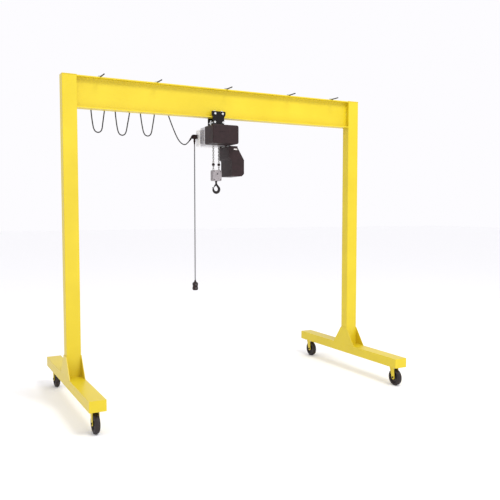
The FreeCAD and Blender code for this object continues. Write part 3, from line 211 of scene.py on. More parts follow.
# points nearer than merge are one point, and edges over the sharp angle stay sharp
meshSizes = {"merge": 1e-6, "sharp": 38}
axisRadius = 0.0001  # a turned solid's profile ends this far from its axis


def showMesh(name, mesh, body=None):
    obj = bpy.data.objects.new(name, mesh)
    scene.collection.objects.link(obj)
    if body:
        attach(obj, body)
    return obj


def makePiece(name, vertices, faces, finish, body=None, smooth=True):
    mesh = bpy.data.meshes.new(name)
    mesh.from_pydata([tuple(v) for v in vertices], [], faces)
    shape = bmesh.new()
    shape.from_mesh(mesh)
    bmesh.ops.remove_doubles(shape, verts=shape.verts, dist=meshSizes["merge"])
    bmesh.ops.recalc_face_normals(shape, faces=shape.faces)
    shape.to_mesh(mesh)
    shape.free()
    if smooth:
        mesh.shade_smooth()
        mesh.set_sharp_from_angle(angle=math.radians(meshSizes["sharp"]))
    mesh.materials.append(finishes[finish])
    return showMesh(name, mesh, body)


def smoothLine(name, points, perSpan):
    # the points read back from a smooth curve through the route
    data = bpy.data.curves.new(name, "CURVE")
    data.dimensions = "3D"
    data.resolution_u = perSpan
    spline = data.splines.new("NURBS")
    spline.points.add(len(points) - 1)
    for corner, point in zip(spline.points, points):
        corner.co = (*point, 1)
    spline.order_u = 3
    spline.use_endpoint_u = True
    obj = bpy.data.objects.new(name, data)
    scene.collection.objects.link(obj)
    mesh = bpy.data.meshes.new_from_object(obj.evaluated_get(
        bpy.context.evaluated_depsgraph_get()))
    line = [v.co.copy() for v in mesh.vertices]
    bpy.data.objects.remove(obj)
    bpy.data.meshes.remove(mesh)
    return line


def sweep(line, radius, sides, closed=False):
    # a round section carried along a line without twisting
    count = len(line)
    side = Vector((0, 1, 0.01))  # a little off +Y, for a line that starts along it
    vertices, faces = [], []
    for i, point in enumerate(line):
        before = line[i - 1] if i or closed else point
        after = line[(i + 1) % count] if i < count - 1 or closed else point
        ahead = (after - before).normalized()
        side = (side - ahead * side.dot(ahead)).normalized()
        up = ahead.cross(side)
        size = radius(i) if callable(radius) else radius
        for k in range(sides):
            angle = 2 * math.pi * k / sides
            vertices.append(point + side * size * math.cos(angle) + up * size * math.sin(angle))
    for i in range(count if closed else count - 1):
        for k in range(sides):
            a, b = i * sides + k, i * sides + (k + 1) % sides
            c, d = (b + sides) % len(vertices), (a + sides) % len(vertices)
            faces.append((a, b, c, d))
    if not closed:
        faces += [tuple(range(sides))[::-1], tuple(range(len(vertices) - sides, len(vertices)))]
    return vertices, faces


def lathe(profile, axis, place, sides):
    # profile holds (distance along the axis, radius)
    turn = Vector(axis).to_track_quat("Z", "Y").to_matrix()
    vertices, faces = [], []
    for k in range(sides):
        angle = 2 * math.pi * k / sides
        for along, radius in profile:
            spot = Vector((radius * math.cos(angle), radius * math.sin(angle), along))
            vertices.append(turn @ spot + Vector(place))
    count = len(profile)
    for k in range(sides):
        for i in range(count):
            j = (i + 1) % count
            m = (k + 1) % sides
            faces.append((k * count + i, k * count + j, m * count + j, m * count + i))
    return vertices, faces


def join(*parts):
    vertices, faces = [], []
    for some, their in parts:
        start = len(vertices)
        vertices += some
        faces += [tuple(start + i for i in face) for face in their]
    return vertices, faces


# shares of the head's radius and height, and the washer's sides
headSizes = {"crown": 0.82, "shoulder": 0.85, "washer": 0.18, "sides": 16}


def hexHead(radius, height, washer):
    # a bolt head with a chamfered top on its washer, looking along +Z
    ring = [(radius * math.cos(math.pi / 3 * k), radius * math.sin(math.pi / 3 * k))
            for k in range(6)]
    crown, shoulder = headSizes["crown"], height * headSizes["shoulder"]
    inner = [(x * crown, y * crown) for x, y in ring]
    vertices = [(x, y, 0) for x, y in ring] + [(x, y, shoulder) for x, y in ring]
    vertices += [(x, y, height) for x, y in inner]
    faces = [tuple(range(6))[::-1], tuple(range(12, 18))]
    for k in range(6):
        m = (k + 1) % 6
        faces += [(k, m, 6 + m, 6 + k), (6 + k, 6 + m, 12 + m, 12 + k)]
    thick = height * headSizes["washer"]
    flat = lathe([(0, axisRadius), (0, washer), (thick, washer), (thick, axisRadius)],
                 (0, 0, 1), (0, 0, 0), headSizes["sides"])
    return join(([Vector(v) for v in vertices], faces), flat)


def repeatTree(name, shape, finish, alongCurve):
    # Geometry Nodes: copies of a shape at points or along a curve, made one mesh
    tree = bpy.data.node_groups.new(name, "GeometryNodeTree")
    face = tree.interface
    face.new_socket("Geometry", in_out="INPUT", socket_type="NodeSocketGeometry")
    face.new_socket("Spacing", in_out="INPUT", socket_type="NodeSocketFloat")
    face.new_socket("Size", in_out="INPUT", socket_type="NodeSocketFloat")
    face.new_socket("Geometry", in_out="OUTPUT", socket_type="NodeSocketGeometry")
    start = addNode(tree, "NodeGroupInput")
    model = addNode(tree, "GeometryNodeObjectInfo", {"Object": shape})
    if alongCurve:
        spots = addNode(tree, "GeometryNodeCurveToPoints", mode="LENGTH",
                        links={"Curve": start.outputs["Geometry"],
                               "Length": start.outputs["Spacing"]})
        index = addNode(tree, "GeometryNodeInputIndex")
        odd = addNode(tree, "ShaderNodeMath", {1: 2.0}, {0: index.outputs[0]},
                      operation="MODULO")
        angle = addNode(tree, "ShaderNodeMath", {1: math.pi / 2}, {0: odd.outputs[0]},
                        operation="MULTIPLY")
        roll = addNode(tree, "ShaderNodeCombineXYZ", links={"Z": angle.outputs[0]})
        quarter = addNode(tree, "FunctionNodeEulerToRotation", links={0: roll.outputs[0]})
        turned = addNode(tree, "FunctionNodeRotateRotation", rotation_space="LOCAL",
                         links={0: spots.outputs["Rotation"], 1: quarter.outputs[0]})
        points, rotation = spots.outputs["Points"], turned.outputs[0]
    else:
        facing = addNode(tree, "GeometryNodeInputNamedAttribute", {"Name": "facing"},
                         data_type="FLOAT_VECTOR")
        aligned = addNode(tree, "FunctionNodeAlignRotationToVector", axis="Z",
                          links={"Vector": facing.outputs["Attribute"]})
        points, rotation = start.outputs["Geometry"], aligned.outputs[0]
    copies = addNode(tree, "GeometryNodeInstanceOnPoints",
                     links={"Points": points, "Rotation": rotation,
                            "Instance": model.outputs["Geometry"],
                            "Scale": start.outputs["Size"]})
    real = addNode(tree, "GeometryNodeRealizeInstances",
                   links={"Geometry": copies.outputs["Instances"]})
    coat = addNode(tree, "GeometryNodeSetMaterial", {"Material": finishes[finish]},
                   {"Geometry": real.outputs["Geometry"]})
    addNode(tree, "NodeGroupOutput", links={"Geometry": coat.outputs["Geometry"]})
    return tree


def runTree(name, source, tree, spacing, size=1.0):
    modifier = source.modifiers.new("repeat", "NODES")
    modifier.node_group = tree
    for item in tree.interface.items_tree:
        if item.in_out == "INPUT" and item.name == "Spacing":
            modifier[item.identifier] = spacing
        if item.in_out == "INPUT" and item.name == "Size":
            modifier[item.identifier] = size
    ready = source.evaluated_get(bpy.context.evaluated_depsgraph_get())
    mesh = bpy.data.meshes.new_from_object(ready)
    mesh.name = name
    bpy.data.objects.remove(source)
    return mesh


templates = []  # shapes that are only copied, taken away at the end


def makeTemplate(name, vertices, faces, finish):
    shape = makePiece(name, vertices, faces, finish)
    templates.append(shape)
    return shape


def copiesAt(name, spots, shape, finish, body):
    # one copy for each (place, facing)
    mesh = bpy.data.meshes.new(name + "Points")
    mesh.from_pydata([tuple(place) for place, _ in spots], [], [])
    facing = mesh.attributes.new("facing", "FLOAT_VECTOR", "POINT")
    for item, (_, way) in zip(facing.data, spots):
        item.vector = way
    source = bpy.data.objects.new(name + "Points", mesh)
    scene.collection.objects.link(source)
    mesh = runTree(name, source, repeatTree(name + "Tree", shape, finish, False), 0.0)
    return showMesh(name, mesh, body)


def copiesAlong(name, lines, shape, finish, spacing):
    # copies at equal spacing along open polylines
    data = bpy.data.curves.new(name, "CURVE")
    data.dimensions = "3D"
    for line in lines:
        spline = data.splines.new("POLY")
        spline.points.add(len(line) - 1)
        for corner, point in zip(spline.points, line):
            corner.co = (*point, 1)
    source = bpy.data.objects.new(name + "Path", data)
    scene.collection.objects.link(source)
    return runTree(name, source, repeatTree(name + "Tree", shape, finish, True), spacing)


# rows: half width, half depth, height over the foot, squareness. rib rows: inset and height
caseSizes = {
    "x": -0.252, "y": 0.25, "top": 1.128, "height": 0.091, "depth": 0.022, "boot": 0.022,
    "sides": 40,
    "rows": ((0.016, 0.012, 0, 0.6), (0.0225, 0.0175, 0.002, 0.5),
             (0.0265, 0.0208, 0.007, 0.42), (0.028, 0.022, 0.016, 0.36),
             (0.0278, 0.022, 0.028, 0.36), (0.0252, 0.0218, 0.038, 0.36),
             (0.0242, 0.0216, 0.046, 0.36), (0.0252, 0.0218, 0.054, 0.36),
             (0.0278, 0.022, 0.064, 0.36), (0.0278, 0.0218, 0.076, 0.4),
             (0.025, 0.02, 0.084, 0.5), (0.019, 0.0165, 0.089, 0.7),
             (0.0145, 0.0135, 0.091, 0.9)),
    "ribs": 5, "ribFoot": 0.0915, "ribPitch": 0.0042, "ribWide": 0.0135, "ribTaper": 0.0012,
    "ribRows": ((0, 0), (0, 0.0022), (0.0018, 0.0027), (0.0018, 0.0038)),
    "throat": 0.0066, "throatGap": 0.0001,
    "keys": (("up", 1.102, 1), ("down", 1.061, -1)), "keySides": 36,
    "collar": ((0, 0.0116), (0, 0.0142), (0.0018, 0.0135), (0.0018, 0.0116)),
    "collarSink": 0.0004,
    "key": ((0.0, axisRadius), (0.0, 0.0108), (0.0140, 0.0108), (0.0153, 0.0098),
            (0.0158, axisRadius)),
    "keySink": 0.0118,
    "arrow": ((-0.0046, -0.003), (0.0046, -0.003), (0, 0.0052)), "arrowProud": 0.0041,
    "arrowDepth": 0.0006,
}


def superRing(halfX, halfY, z, square, count):
    # a rounded rectangle: square is near 1 for an ellipse and near 0 for sharp corners
    ring = []
    for k in range(count):
        angle = 2 * math.pi * k / count
        c, d = math.cos(angle), math.sin(angle)
        ring.append((halfX * math.copysign(abs(c) ** square, c),
                     halfY * math.copysign(abs(d) ** square, d), z))
    return ring


def makePendant(s):
    low, sides = s["top"] - s["height"], s["sides"]
    rows = [(wide, deep, low + above, square) for wide, deep, above, square in s["rows"]]
    for k in range(s["ribs"]):  # ribs of the cable boot
        z = low + s["ribFoot"] + k * s["ribPitch"]
        wide = s["ribWide"] - k * s["ribTaper"]
        rows += [(wide - inset, wide - inset, z + above, 1) for inset, above in s["ribRows"]]
    rows.append((s["throat"], s["throat"], s["top"] + s["boot"] - s["throatGap"], 1))
    vertices, faces = [], []
    for row in rows:
        vertices += [Vector((s["x"] + x, s["y"] + y, z)) for x, y, z in superRing(*row, sides)]
    for start in range(0, (len(rows) - 1) * sides, sides):
        for k in range(sides):
            m = (k + 1) % sides
            faces.append((start + k, start + m, start + sides + m, start + sides + k))
    faces += [tuple(range(sides))[::-1], tuple(range(len(vertices) - sides, len(vertices)))]
    front = s["y"] - s["depth"]
    collars = [lathe(s["collar"], (0, -1, 0), (s["x"], front + s["collarSink"], z),
                     s["keySides"]) for _, z, _ in reversed(s["keys"])]
    case = makePiece("pendantCase", *join((vertices, faces), *collars), "blackNylon", "pendant")
    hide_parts("pendant_case")
    made = [case]
    for name, z, way in s["keys"]:
        face = lathe(s["key"], (0, -1, 0), (s["x"], front + s["keySink"], z), s["keySides"])
        cap = makePiece(name + "Key", *face, "keyRubber", name + "_button")
        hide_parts(name + "_button")
        y = front - s["arrowProud"]
        vertices = [Vector((s["x"] + u, y + d, z + way * v)) for d in (0, -s["arrowDepth"])
                    for u, v in s["arrow"]]
        faces = [(0, 1, 2), (5, 4, 3), (0, 3, 4, 1), (1, 4, 5, 2), (2, 5, 3, 0)]
        arrow = makePiece(name + "Arrow", vertices, faces, "blackNylon", name + "_button",
                          smooth=False)
        made += [cap, arrow]
    return made


pendantPieces = makePendant(caseSizes)
print("stage: pendant")


mm = 0.001
# down from the supply box, over the three sliders, then across to the hoist's gland
supplyRoute = [Vector(p) * mm for p in (
    (-1408, 150, 3094), (-1408, 150, 3020), (-1400, 150, 2900), (-1387, 150, 2780),
    (-1372, 150, 2706), (-1333, 150, 2684), (-1294, 150, 2706), (-1284, 150, 2780),
    (-1266, 150, 2900), (-1250, 150, 3030), (-1241, 150, 3110), (-1200, 150, 3132),
    (-1159, 150, 3110), (-1159, 150, 3030), (-1156, 150, 2900), (-1143, 150, 2780),
    (-1126, 150, 2691), (-1087, 150, 2669), (-1048, 150, 2691), (-1031, 150, 2780),
    (-1007, 150, 2900), (-996, 150, 3030), (-989, 150, 3110), (-950, 150, 3131),
    (-911, 150, 3110), (-906, 150, 3030), (-893, 150, 2900), (-876, 150, 2780),
    (-857, 150, 2698), (-818, 150, 2676), (-779, 150, 2698), (-764, 150, 2780),
    (-742, 150, 2900), (-731, 150, 3030), (-724, 150, 3110), (-685, 150, 3131),
    (-646, 150, 3110), (-633, 150, 3030), (-588, 152, 2905), (-515, 166, 2740),
    (-455, 190, 2648), (-385, 215, 2612), (-329, 240, 2648),
)]
supplySizes = {"diameter": 0.012, "length": 3.66, "clampX": -1.408, "hoistX": -0.297,
               "railY": 0.15, "blendZ": 3.09, "relief": 0.04, "perSpan": 8, "sides": 14}
glandRoot = Vector((-0.273, 0.257, 2.721))
reliefWay = (supplyRoute[-1] - glandRoot).normalized()
supplyRoute.append(glandRoot + reliefWay * supplySizes["relief"])
pendantRoute = [Vector(p) * mm for p in (
    (-252, 250, 2660), (-252, 250, 2600), (-252, 250, 2540), (-252, 250, 2200),
    (-252, 250, 1150),
)]
pendantSizes = {"diameter": 0.012, "length": 1.51, "bend": 0.12, "perSpan": 10, "sides": 16}


def makeSupplyCable(s):
    line = smoothLine("supplyLine", supplyRoute, s["perSpan"])
    cable = makePiece("supplyCable", *sweep(line, s["diameter"] / 2, s["sides"]), "blackPvc")
    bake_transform(cable)
    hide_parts("festoon_cable")


def makePendantCable(s):
    line = smoothLine("pendantLine", pendantRoute, s["perSpan"])
    cable = makePiece("pendantCable", *sweep(line, s["diameter"] / 2, s["sides"]), "greyPvc")
    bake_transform(cable)
    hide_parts("pendant_cable")


makeSupplyCable(supplySizes)
makePendantCable(pendantSizes)
print("stage: cords")


chainSizes = {"wire": 0.0063, "pitch": 0.0191, "width": 0.0212, "fall": 0.032, "x": -0.11,
              "anchor": 2.612, "axle": 2.302, "drum": 2.6565, "travel": 1.95,
              "blendTop": 2.655, "blendLow": 2.604, "blendSteps": 4000, "bendSteps": 6,
              "linkSides": 7, "outlet": 0.105, "leave": 70, "slackEnd": 2.515}
# the heap in the bucket: one coil that swells, sways along Y and climbs as it turns
heapSizes = {"steps": 260, "turn": 0.55, "x": 0.072, "reach": 0.024, "swell": 0.012,
             "swellTurn": 0.37, "sway": 0.095, "swayTurn": 0.31, "floor": 2.3, "rise": 0.00045}


def linkShape(s):
    bend = (s["width"] - s["wire"]) / 2
    straight = s["pitch"] / 2 + s["wire"] / 2 - bend
    line = []
    for k in range(s["bendSteps"] + 1):
        angle = math.pi * k / s["bendSteps"]
        line.append(Vector((bend * math.cos(angle), 0, straight + bend * math.sin(angle))))
    line += [Vector((-p.x, 0, -p.z)) for p in line]
    link = sweep(line, s["wire"] / 2, s["linkSides"], closed=True)
    return makeTemplate("chainLink", *link, "platedSteel")


def arc(x, z, radius, start, end, steps=14):
    points = []
    for k in range(steps + 1):
        angle = math.radians(start + (end - start) * k / steps)
        points.append(Vector((x + radius * math.cos(angle), 0, z + radius * math.sin(angle))))
    return points


def restHeight(z, table, travel):
    # where a point of the lowered chain goes when the hook is at its pictured height
    if z <= table[-1][0]:
        return z + travel
    if z >= table[0][0]:
        return z
    first, last = 0, len(table) - 1
    while last - first > 1:
        middle = (first + last) // 2
        if table[middle][0] > z:
            first = middle
        else:
            last = middle
    return table[first][1]


def liftChain(s, link):
    x, fall, low = s["x"], s["fall"], s["axle"] - s["travel"]
    # drawn with the hook at its lowest, then the spare links are packed inside the hoist
    path = [Vector((x + fall, 0, s["anchor"]))] + arc(x, low, fall, 0, -180)
    path.append(Vector((x - fall, 0, s["drum"])))
    mesh = copiesAlong("liftingChain", [path], link, "platedSteel", s["pitch"])
    table = []
    for k in range(s["blendSteps"] + 1):
        t = k / s["blendSteps"]
        z = s["blendTop"] - (s["blendTop"] - s["blendLow"]) * k / s["blendSteps"]
        table.append((z - t * t * (3 - 2 * t) * s["travel"], z))
    for vertex in mesh.vertices:
        vertex.co.z = restHeight(vertex.co.z, table, s["travel"])
    chain = showMesh("liftingChain", mesh)
    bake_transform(chain)
    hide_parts("load_chain")


def spareChain(s, heap, link):
    # the slack run over the load sheave and down, and the heap that it feeds
    fall, leave = s["fall"], s["leave"]
    reach = s["outlet"] - fall
    guideZ = s["drum"] - reach / math.tan(math.radians(leave))
    slack = arc(s["x"], s["drum"], fall, 180, leave)
    slack += arc(s["x"] + reach, guideZ, fall, leave, 0)
    slack.append(Vector((s["x"] + s["outlet"], 0, s["slackEnd"])))
    coil = []
    for k in range(heap["steps"]):
        turn = k * heap["turn"]
        wide = heap["reach"] + heap["swell"] * math.sin(k * heap["swellTurn"])
        coil.append(Vector((heap["x"] + wide * math.cos(turn),
                            heap["sway"] * math.sin(turn * heap["swayTurn"]),
                            heap["floor"] + heap["rise"] * k)))
    mesh = copiesAlong("spareChain", [slack, coil], link, "platedSteel", s["pitch"])
    showMesh("spareChain", mesh, "trolley")


chainLink = linkShape(chainSizes)
liftChain(chainSizes, chainLink)
spareChain(chainSizes, heapSizes, chainLink)
print("stage: chain")


# rows are (along the axle, radius): seal from the hub's face, cone from the web's face and the
# hub, lip from the tyre's side and the rim, shoulder from the tyre's side and its tread
wheelSizes = {"radius": 0.0895, "half": 0.0238, "hub": 0.019, "hubHalf": 0.0259, "bore": 0.0063,
              "rim": 0.063, "web": 0.009, "rimRoot": 0.008, "sides": 72,
              "seal": ((0, 0.0105), (0.002, 0.0112), (0.002, 0.0155), (0, 0.0162)),
              "cone": ((-0.004, 0.003), (0, 0.008)),
              "lip": ((0.006, -0.002), (0.002, 0), (0.0026, 0.0015), (0, 0.004)),
              "shoulder": ((0, -0.012), (0.0035, -0.0045), (0.0095, -0.0009)),
              "x": 1.65, "frontY": -0.855, "rearY": 0.815, "axle": 0.09}


def makeWheel(s, name, body, node, place):
    def rows(key, along, radius):
        return [(along + a, radius + r) for a, r in s[key]]

    half, face, web = -s["half"], -s["hubHalf"], -s["web"]
    left = [(face, s["bore"]), *rows("seal", face, 0), (face, s["hub"]),
            *rows("cone", web, s["hub"]), (web, s["rim"] - s["rimRoot"]),
            *rows("lip", half, s["rim"]), *rows("shoulder", half, s["radius"])]
    profile = left + [(0.0, s["radius"])] + [(-a, r) for a, r in reversed(left)]
    wheel = makePiece(name, *lathe(profile, (1, 0, 0), place, s["sides"]), "tyrePolyurethane",
                      body)
    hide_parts(node)


def makeWheels(s):
    for side, x in (("left", -s["x"]), ("right", s["x"])):
        for end, y in (("front", s["frontY"]), ("rear", s["rearY"])):
            makeWheel(s, f"{side}{end.title()}Tyre", f"{side}_{end}_caster_wheel",
                      f"{side}_{end}_wheel", (x, y, s["axle"]))


makeWheels(wheelSizes)
print("stage: wheels")


# neck rows: x and height from the shank's line and top, radius. bowl rows: degrees, radius.
# tip and nose: x and height from the row before, radius. collar rows: height, radius
hookSizes = {
    "x": -0.11, "top": 2.228, "centre": 2.14, "bowl": 0.0342, "steps": 5, "sides": 24,
    "neck": ((0, 0.004, 0.0109), (0, -0.022, 0.0102), (0.005, -0.038, 0.0104)),
    "bowlRows": ((42, 0.0124), (18, 0.0138), (-8, 0.0146), (-36, 0.015), (-64, 0.0151),
                 (-92, 0.0148), (-120, 0.0138), (-146, 0.0122), (-170, 0.0103),
                 (-190, 0.0082)),
    "tip": (-0.007, 0.013, 0.0049), "nose": (-0.0018, 0.0035, 0.0022),
    "forgedBelow": 0.05, "full": 1.06, "drawn": 0.22, "drawnOver": 0.0136,
    "collar": ((0, 0.0105), (0, 0.0135), (0.0012, 0.0147), (0.0042, 0.0147), (0.005, 0.0135),
               (0.005, 0.0105)),
    "collarDrop": 0.0053, "collarSides": 36,
}


def hookLine(s):
    # a smooth line through the stations (a Catmull-Rom curve), with a radius at each point
    stations = [((x, s["top"] + z), radius) for x, z, radius in s["neck"]]
    for degrees, radius in s["bowlRows"]:
        angle = math.radians(degrees)
        stations.append(((s["bowl"] * math.cos(angle), s["centre"] + s["bowl"] * math.sin(angle)),
                         radius))
    tip = stations[-1][0]
    stations.append(((tip[0] + s["tip"][0], tip[1] + s["tip"][1]), s["tip"][2]))
    line, radii = [], []
    for i in range(len(stations) - 1):
        rows = [stations[max(0, min(len(stations) - 1, i + k))] for k in (-1, 0, 1, 2)]
        for step in range(s["steps"]):
            t = step / s["steps"]
            weights = (-t + 2 * t * t - t ** 3, 2 - 5 * t * t + 3 * t ** 3,
                       t + 4 * t * t - 3 * t ** 3, -t * t + t ** 3)
            line.append(Vector((
                s["x"] + sum(w * row[0][0] for w, row in zip(weights, rows)) / 2, 0,
                sum(w * row[0][1] for w, row in zip(weights, rows)) / 2)))
            radii.append(sum(w * row[1] for w, row in zip(weights, rows)) / 2)
    line.append(Vector((s["x"] + stations[-1][0][0], 0, stations[-1][0][1])))
    line.append(line[-1] + Vector((s["nose"][0], 0, s["nose"][1])))
    return line, radii + [stations[-1][1], s["nose"][2]]


def makeHook(s):
    line, radii = hookLine(s)
    horn = sweep(line, lambda i: radii[i], s["sides"])
    middle = Vector((s["x"], 0, s["centre"]))
    shaped = []
    for v in horn[0]:
        if v.z < s["top"] - s["forgedBelow"]:  # full inside the bowl, drawn in towards the back
            out = Vector((v.x - middle.x, 0, v.z - middle.z)).length
            share = max(0, out - s["bowl"]) / s["drawnOver"]
            v = Vector((v.x, v.y * (s["full"] - s["drawn"] * share), v.z))
        shaped.append(v)
    collar = lathe(s["collar"], (0, 0, 1), (s["x"], 0, s["top"] - s["collarDrop"]),
                   s["collarSides"])
    hook = makePiece("forgedHook", *join((shaped, horn[1]), collar), "forgedSteel", "hook")
    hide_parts("load_hook")


springSizes = {"x": -0.108, "y": -0.0118, "z": 2.198, "coil": 0.0042, "wire": 0.0007,
               "steps": 96, "perTurn": 16, "rise": 0.000238, "sides": 6}


def makeLatchSpring(s):
    line = []
    for k in range(s["steps"] + 1):
        angle = 2 * math.pi * k / s["perTurn"]
        line.append(Vector((s["x"] + s["coil"] * math.cos(angle), s["y"] + s["rise"] * k,
                            s["z"] + s["coil"] * math.sin(angle))))
    makePiece("latchSpring", *sweep(line, s["wire"], s["sides"]), "zincPlate", "latch")


# a ball cut flat at both ends, with the bore that the fall runs through
bufferSizes = {"x": -0.11, "fall": 0.032, "z": 2.402, "radius": 0.016, "span": 47, "steps": 16,
               "bore": 0.0113, "half": 0.0125, "sides": 40}


def makeBuffers(s):
    parts = []
    profile = []
    for k in range(s["steps"] + 1):
        angle = math.radians(-s["span"] + 2 * s["span"] * k / s["steps"])
        profile.append((s["radius"] * math.sin(angle), s["radius"] * math.cos(angle)))
    profile += [(s["half"], s["bore"]), (-s["half"], s["bore"])]
    for side in (-1, 1):
        place = (s["x"] + side * s["fall"], 0, s["z"])
        parts.append(lathe(profile, (0, 0, 1), place, s["sides"]))
    buffers = makePiece("chainBuffers", *join(*parts), "blackNylon", "hook_block")
    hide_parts("chain_stoppers")


makeHook(hookSizes)
makeLatchSpring(springSizes)
makeBuffers(bufferSizes)
print("stage: hook")


weldSizes = {"bead": 0.0032, "spacing": 0.0042, "gap": 0.0005, "inset": 0.003,
             "plate": 0.006, "flange": 0.012, "web": 0.004, "rise": 0.196, "reach": 0.143,
             "lump": ((-0.7, 0.7), (0, 1), (0.7, 0.75)), "sides": 8}


def weldLines(s):
    gap, inset = s["gap"], s["inset"]
    beamLow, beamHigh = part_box("main_beam")
    lines = []
    for side in ("left", "right"):
        low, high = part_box(side + "_post")
        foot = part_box(side + "_foot_tube")[1][2] + gap
        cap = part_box("post_caps")[1][2] - s["plate"] + gap
        left, right = low[0] + inset, high[0] - inset
        for face, out in ((low[1] - gap, -1), (high[1] + gap, 1)):
            lines += [[(left, face, foot), (right, face, foot)],
                      [(left, face, cap), (right, face, cap)]]
            for x in (low[0] + gap, high[0] - gap):  # inside edge of each gusset
                lines.append([(x, face, foot + s["rise"]), (x, face, foot),
                              (x, face + out * s["reach"], foot)])
        inner = high[0] + gap if side == "left" else low[0] - gap
        lower, upper = beamLow[2] + s["flange"], beamHigh[2] - s["flange"]
        lines.append([(inner, y, beamLow[2] - gap) for y in (beamLow[1], beamHigh[1])])
        for out in (-1, 1):
            web, edge = out * (s["web"] + gap), out * beamHigh[1]
            lines.append([(inner, edge, lower), (inner, web, lower), (inner, web, upper),
                          (inner, edge, upper)])
    return [[Vector(point) for point in line] for line in lines]


def makeWelds(s):
    size = s["bead"]
    lump = [(along * size, radius * size) for along, radius in s["lump"]]
    bead = lathe([(-size, axisRadius), *lump, (size, axisRadius)], (0, 0, 1), (0, 0, 0),
                 s["sides"])
    shape = makeTemplate("weldBead", *bead, "yellowPowderCoat")
    mesh = copiesAlong("weldBeads", weldLines(s), shape, "yellowPowderCoat", s["spacing"])
    mesh.shade_smooth()
    showMesh("weldBeads", mesh, "gantry_frame")


# screw and bolt: head radius, head height, washer radius. hoist and block rows: node, the side
# its screws are on, and how far in from its corners they sit
boltSizes = {"screw": (0.0042, 0.0032, 0.0052), "bolt": (0.0085, 0.0068, 0.0105),
             "casterX": 1.65, "casterY": 0.835, "holeX": 0.043, "holeY": 0.053,
             "plate": 0.0059, "sink": 0.0003,
             "hoist": (("control_cover", -1, 0.03, 0.026), ("motor_cover", 1, 0.025, 0.02)),
             "block": (("hook_block_shell", -1, 0.012, 0.0135),
                       ("hook_block_shell", 1, 0.012, 0.0135)),
             "hangerX": (-1.348, -0.774, 0.0, 0.774, 1.348)}


def cornerSpots(rows, sink):
    spots = []
    for node, side, insetX, insetZ in rows:
        low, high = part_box(node)
        face = low[1] + sink if side < 0 else high[1] - sink
        spots += [(Vector((x, face, z)), Vector((0, side, 0)))
                  for x in (low[0] + insetX, high[0] - insetX)
                  for z in (low[2] + insetZ, high[2] - insetZ)]
    return spots


def makeBolts(s):
    small = makeTemplate("smallScrew", *hexHead(*s["screw"]), "blackOxide")
    large = makeTemplate("plateBolt", *hexHead(*s["bolt"]), "zincPlate")
    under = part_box("caster_mounts")[1][2] - s["plate"]
    mounts = [(Vector((x * s["casterX"] + a * s["holeX"], y * s["casterY"] + b * s["holeY"],
                       under)), Vector((0, 0, -1)))
              for x in (-1, 1) for y in (-1, 1) for a in (-1, 1) for b in (-1, 1)]
    copiesAt("mountBolts", mounts, large, "zincPlate", "gantry_frame")
    copiesAt("hoistScrews", cornerSpots(s["hoist"], s["sink"]), small, "blackOxide", "trolley")
    copiesAt("blockScrews", cornerSpots(s["block"], s["sink"]), small, "blackOxide",
             "hook_block")
    low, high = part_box("rail_hangers")
    hangers = [(Vector((x, (low[1] + high[1]) / 2, high[2] - s["sink"])), Vector((0, 0, 1)))
               for x in s["hangerX"]]
    copiesAt("hangerScrews", hangers, small, "blackOxide", "gantry_frame")


# rows: share of the length, share of the radius. strip: its corners, x and z
fittingSizes = {"bore": 0.0063, "nut": 0.0128, "nutLength": 0.011, "nutLift": 0.012,
                "nutRows": ((0, 1), (0.8, 1), (1, 0.86)),
                "sleeve": 0.0105, "sleeveLength": 0.0295, "sleeveSides": 32,
                "sleeveRows": ((0, 1), (0.14, 1), (0.2, 0.84), (0.95, 0.7)),
                "supplyLift": 0.0005, "pendantLift": 0.0012,
                "tie": 0.0078, "tieWire": 0.0014, "tieDrop": 0.0458, "tieSteps": 24,
                "tieSides": 6,
                "strip": ((0.034, 2.554), (0.078, 2.554), (0.07, 2.567), (0.034, 2.567)),
                "stripGap": 0.0001, "stripThickness": 0.0007}


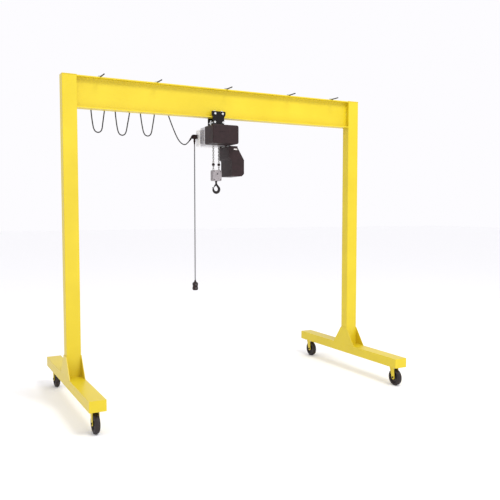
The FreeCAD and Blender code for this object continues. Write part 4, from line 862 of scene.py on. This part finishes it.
def makeFittings(s):
    down = Vector((0, 0, -1))
    supply, pendant, hoist = supplyRoute[0], pendantRoute[0], supplyRoute[-1]
    back = (supplyRoute[-2] - hoist).normalized()
    bore, nut, long = s["bore"], s["nut"], s["nutLength"]
    profile = [(0, bore), *((a * long, r * nut) for a, r in s["nutRows"]), (long, bore)]
    for name, place, body in (("supplyNut", supply, "gantry_frame"),
                              ("glandNut", pendant, "trolley")):
        shape = lathe(profile, down, place - down * s["nutLift"], 6)
        makePiece(name, *shape, "blackNylon", body, smooth=False)
    wide, reach = s["sleeve"], s["sleeveLength"]
    profile = [(0, bore), *((a * reach, r * wide) for a, r in s["sleeveRows"]), (reach, bore)]
    for name, place, way, body in (
        ("supplyRelief", supply - down * s["supplyLift"], down, "gantry_frame"),
        ("pendantRelief", pendant - down * s["pendantLift"], down, "trolley"),
        ("hoistRelief", hoist, back, "trolley"),
    ):
        shape = lathe(profile, way, place, s["sleeveSides"])
        makePiece(name, *shape, "blackNylon", body)

    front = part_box("chain_bucket")[0][1] + s["stripGap"]
    vertices = [Vector((x, y, z)) for y in (front, front - s["stripThickness"])
                for x, z in s["strip"]]
    faces = [(0, 1, 2, 3), (7, 6, 5, 4), (0, 4, 5, 1), (1, 5, 6, 2), (2, 6, 7, 3), (3, 7, 4, 0)]
    makePiece("bucketStrip", vertices, faces, "printedFoil", "trolley", smooth=False)

    for number in (1, 2, 3):
        slider = f"cable_slider_{number}"
        low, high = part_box(slider)
        middle = Vector(((low[0] + high[0]) / 2, supply.y, high[2] - s["tieDrop"]))
        angles = (2 * math.pi * k / s["tieSteps"] for k in range(s["tieSteps"]))
        ring = [middle + Vector((0, math.cos(angle), math.sin(angle))) * s["tie"]
                for angle in angles]
        tie = sweep(ring, s["tieWire"], s["tieSides"], closed=True)
        makePiece(f"cableTie{number}", *tie, "blackNylon", slider)


makeWelds(weldSizes)
makeBolts(boltSizes)
makeFittings(fittingSizes)
print("stage: welds, bolts and fittings")


# lamp rows: name, place, aim, watts, size
lightSizes = {"floor": 60, "floorRough": 0.9, "floorColour": "#FCFCFD",
              "sky": "#FDFCFF", "skyStrength": 1.0,
              "lamps": (("keyLight", (1.0, -5.5, 8.5), (0, 0, 1.8), 350, 2.5),
                        ("fillLight", (1.5, -8.0, 2.0), (0, 0, 1.6), 90, 5.0))}


def makeStage(s):
    mesh = bpy.data.meshes.new("floor")
    reach = s["floor"]
    mesh.from_pydata([(-reach, -reach, 0), (reach, -reach, 0), (reach, reach, 0),
                      (-reach, reach, 0)], [], [(0, 1, 2, 3)])
    floor = bpy.data.objects.new("floor", mesh)
    scene.collection.objects.link(floor)
    material = bpy.data.materials.new("paleFloor")
    material.use_nodes = True
    shader = material.node_tree.nodes["Principled BSDF"]
    shader.inputs["Base Color"].default_value = linear(s["floorColour"])
    shader.inputs["Roughness"].default_value = s["floorRough"]
    mesh.materials.append(material)
    world = bpy.data.worlds.new("softLight")
    world.use_nodes = True
    sky = world.node_tree.nodes["Background"]
    sky.inputs["Color"].default_value = linear(s["sky"])
    sky.inputs["Strength"].default_value = s["skyStrength"]
    scene.world = world
    for name, place, aim, power, size in s["lamps"]:
        data = bpy.data.lights.new(name, "AREA")
        data.energy = power
        data.size = size
        lamp = bpy.data.objects.new(name, data)
        lamp.location = place
        way = Vector(aim) - Vector(place)
        lamp.rotation_euler = way.to_track_quat("-Z", "Y").to_euler()
        scene.collection.objects.link(lamp)
    scene.view_settings.view_transform = "Standard"


makeStage(lightSizes)
for shape in templates:
    bpy.data.objects.remove(shape)
print("stage: finish")
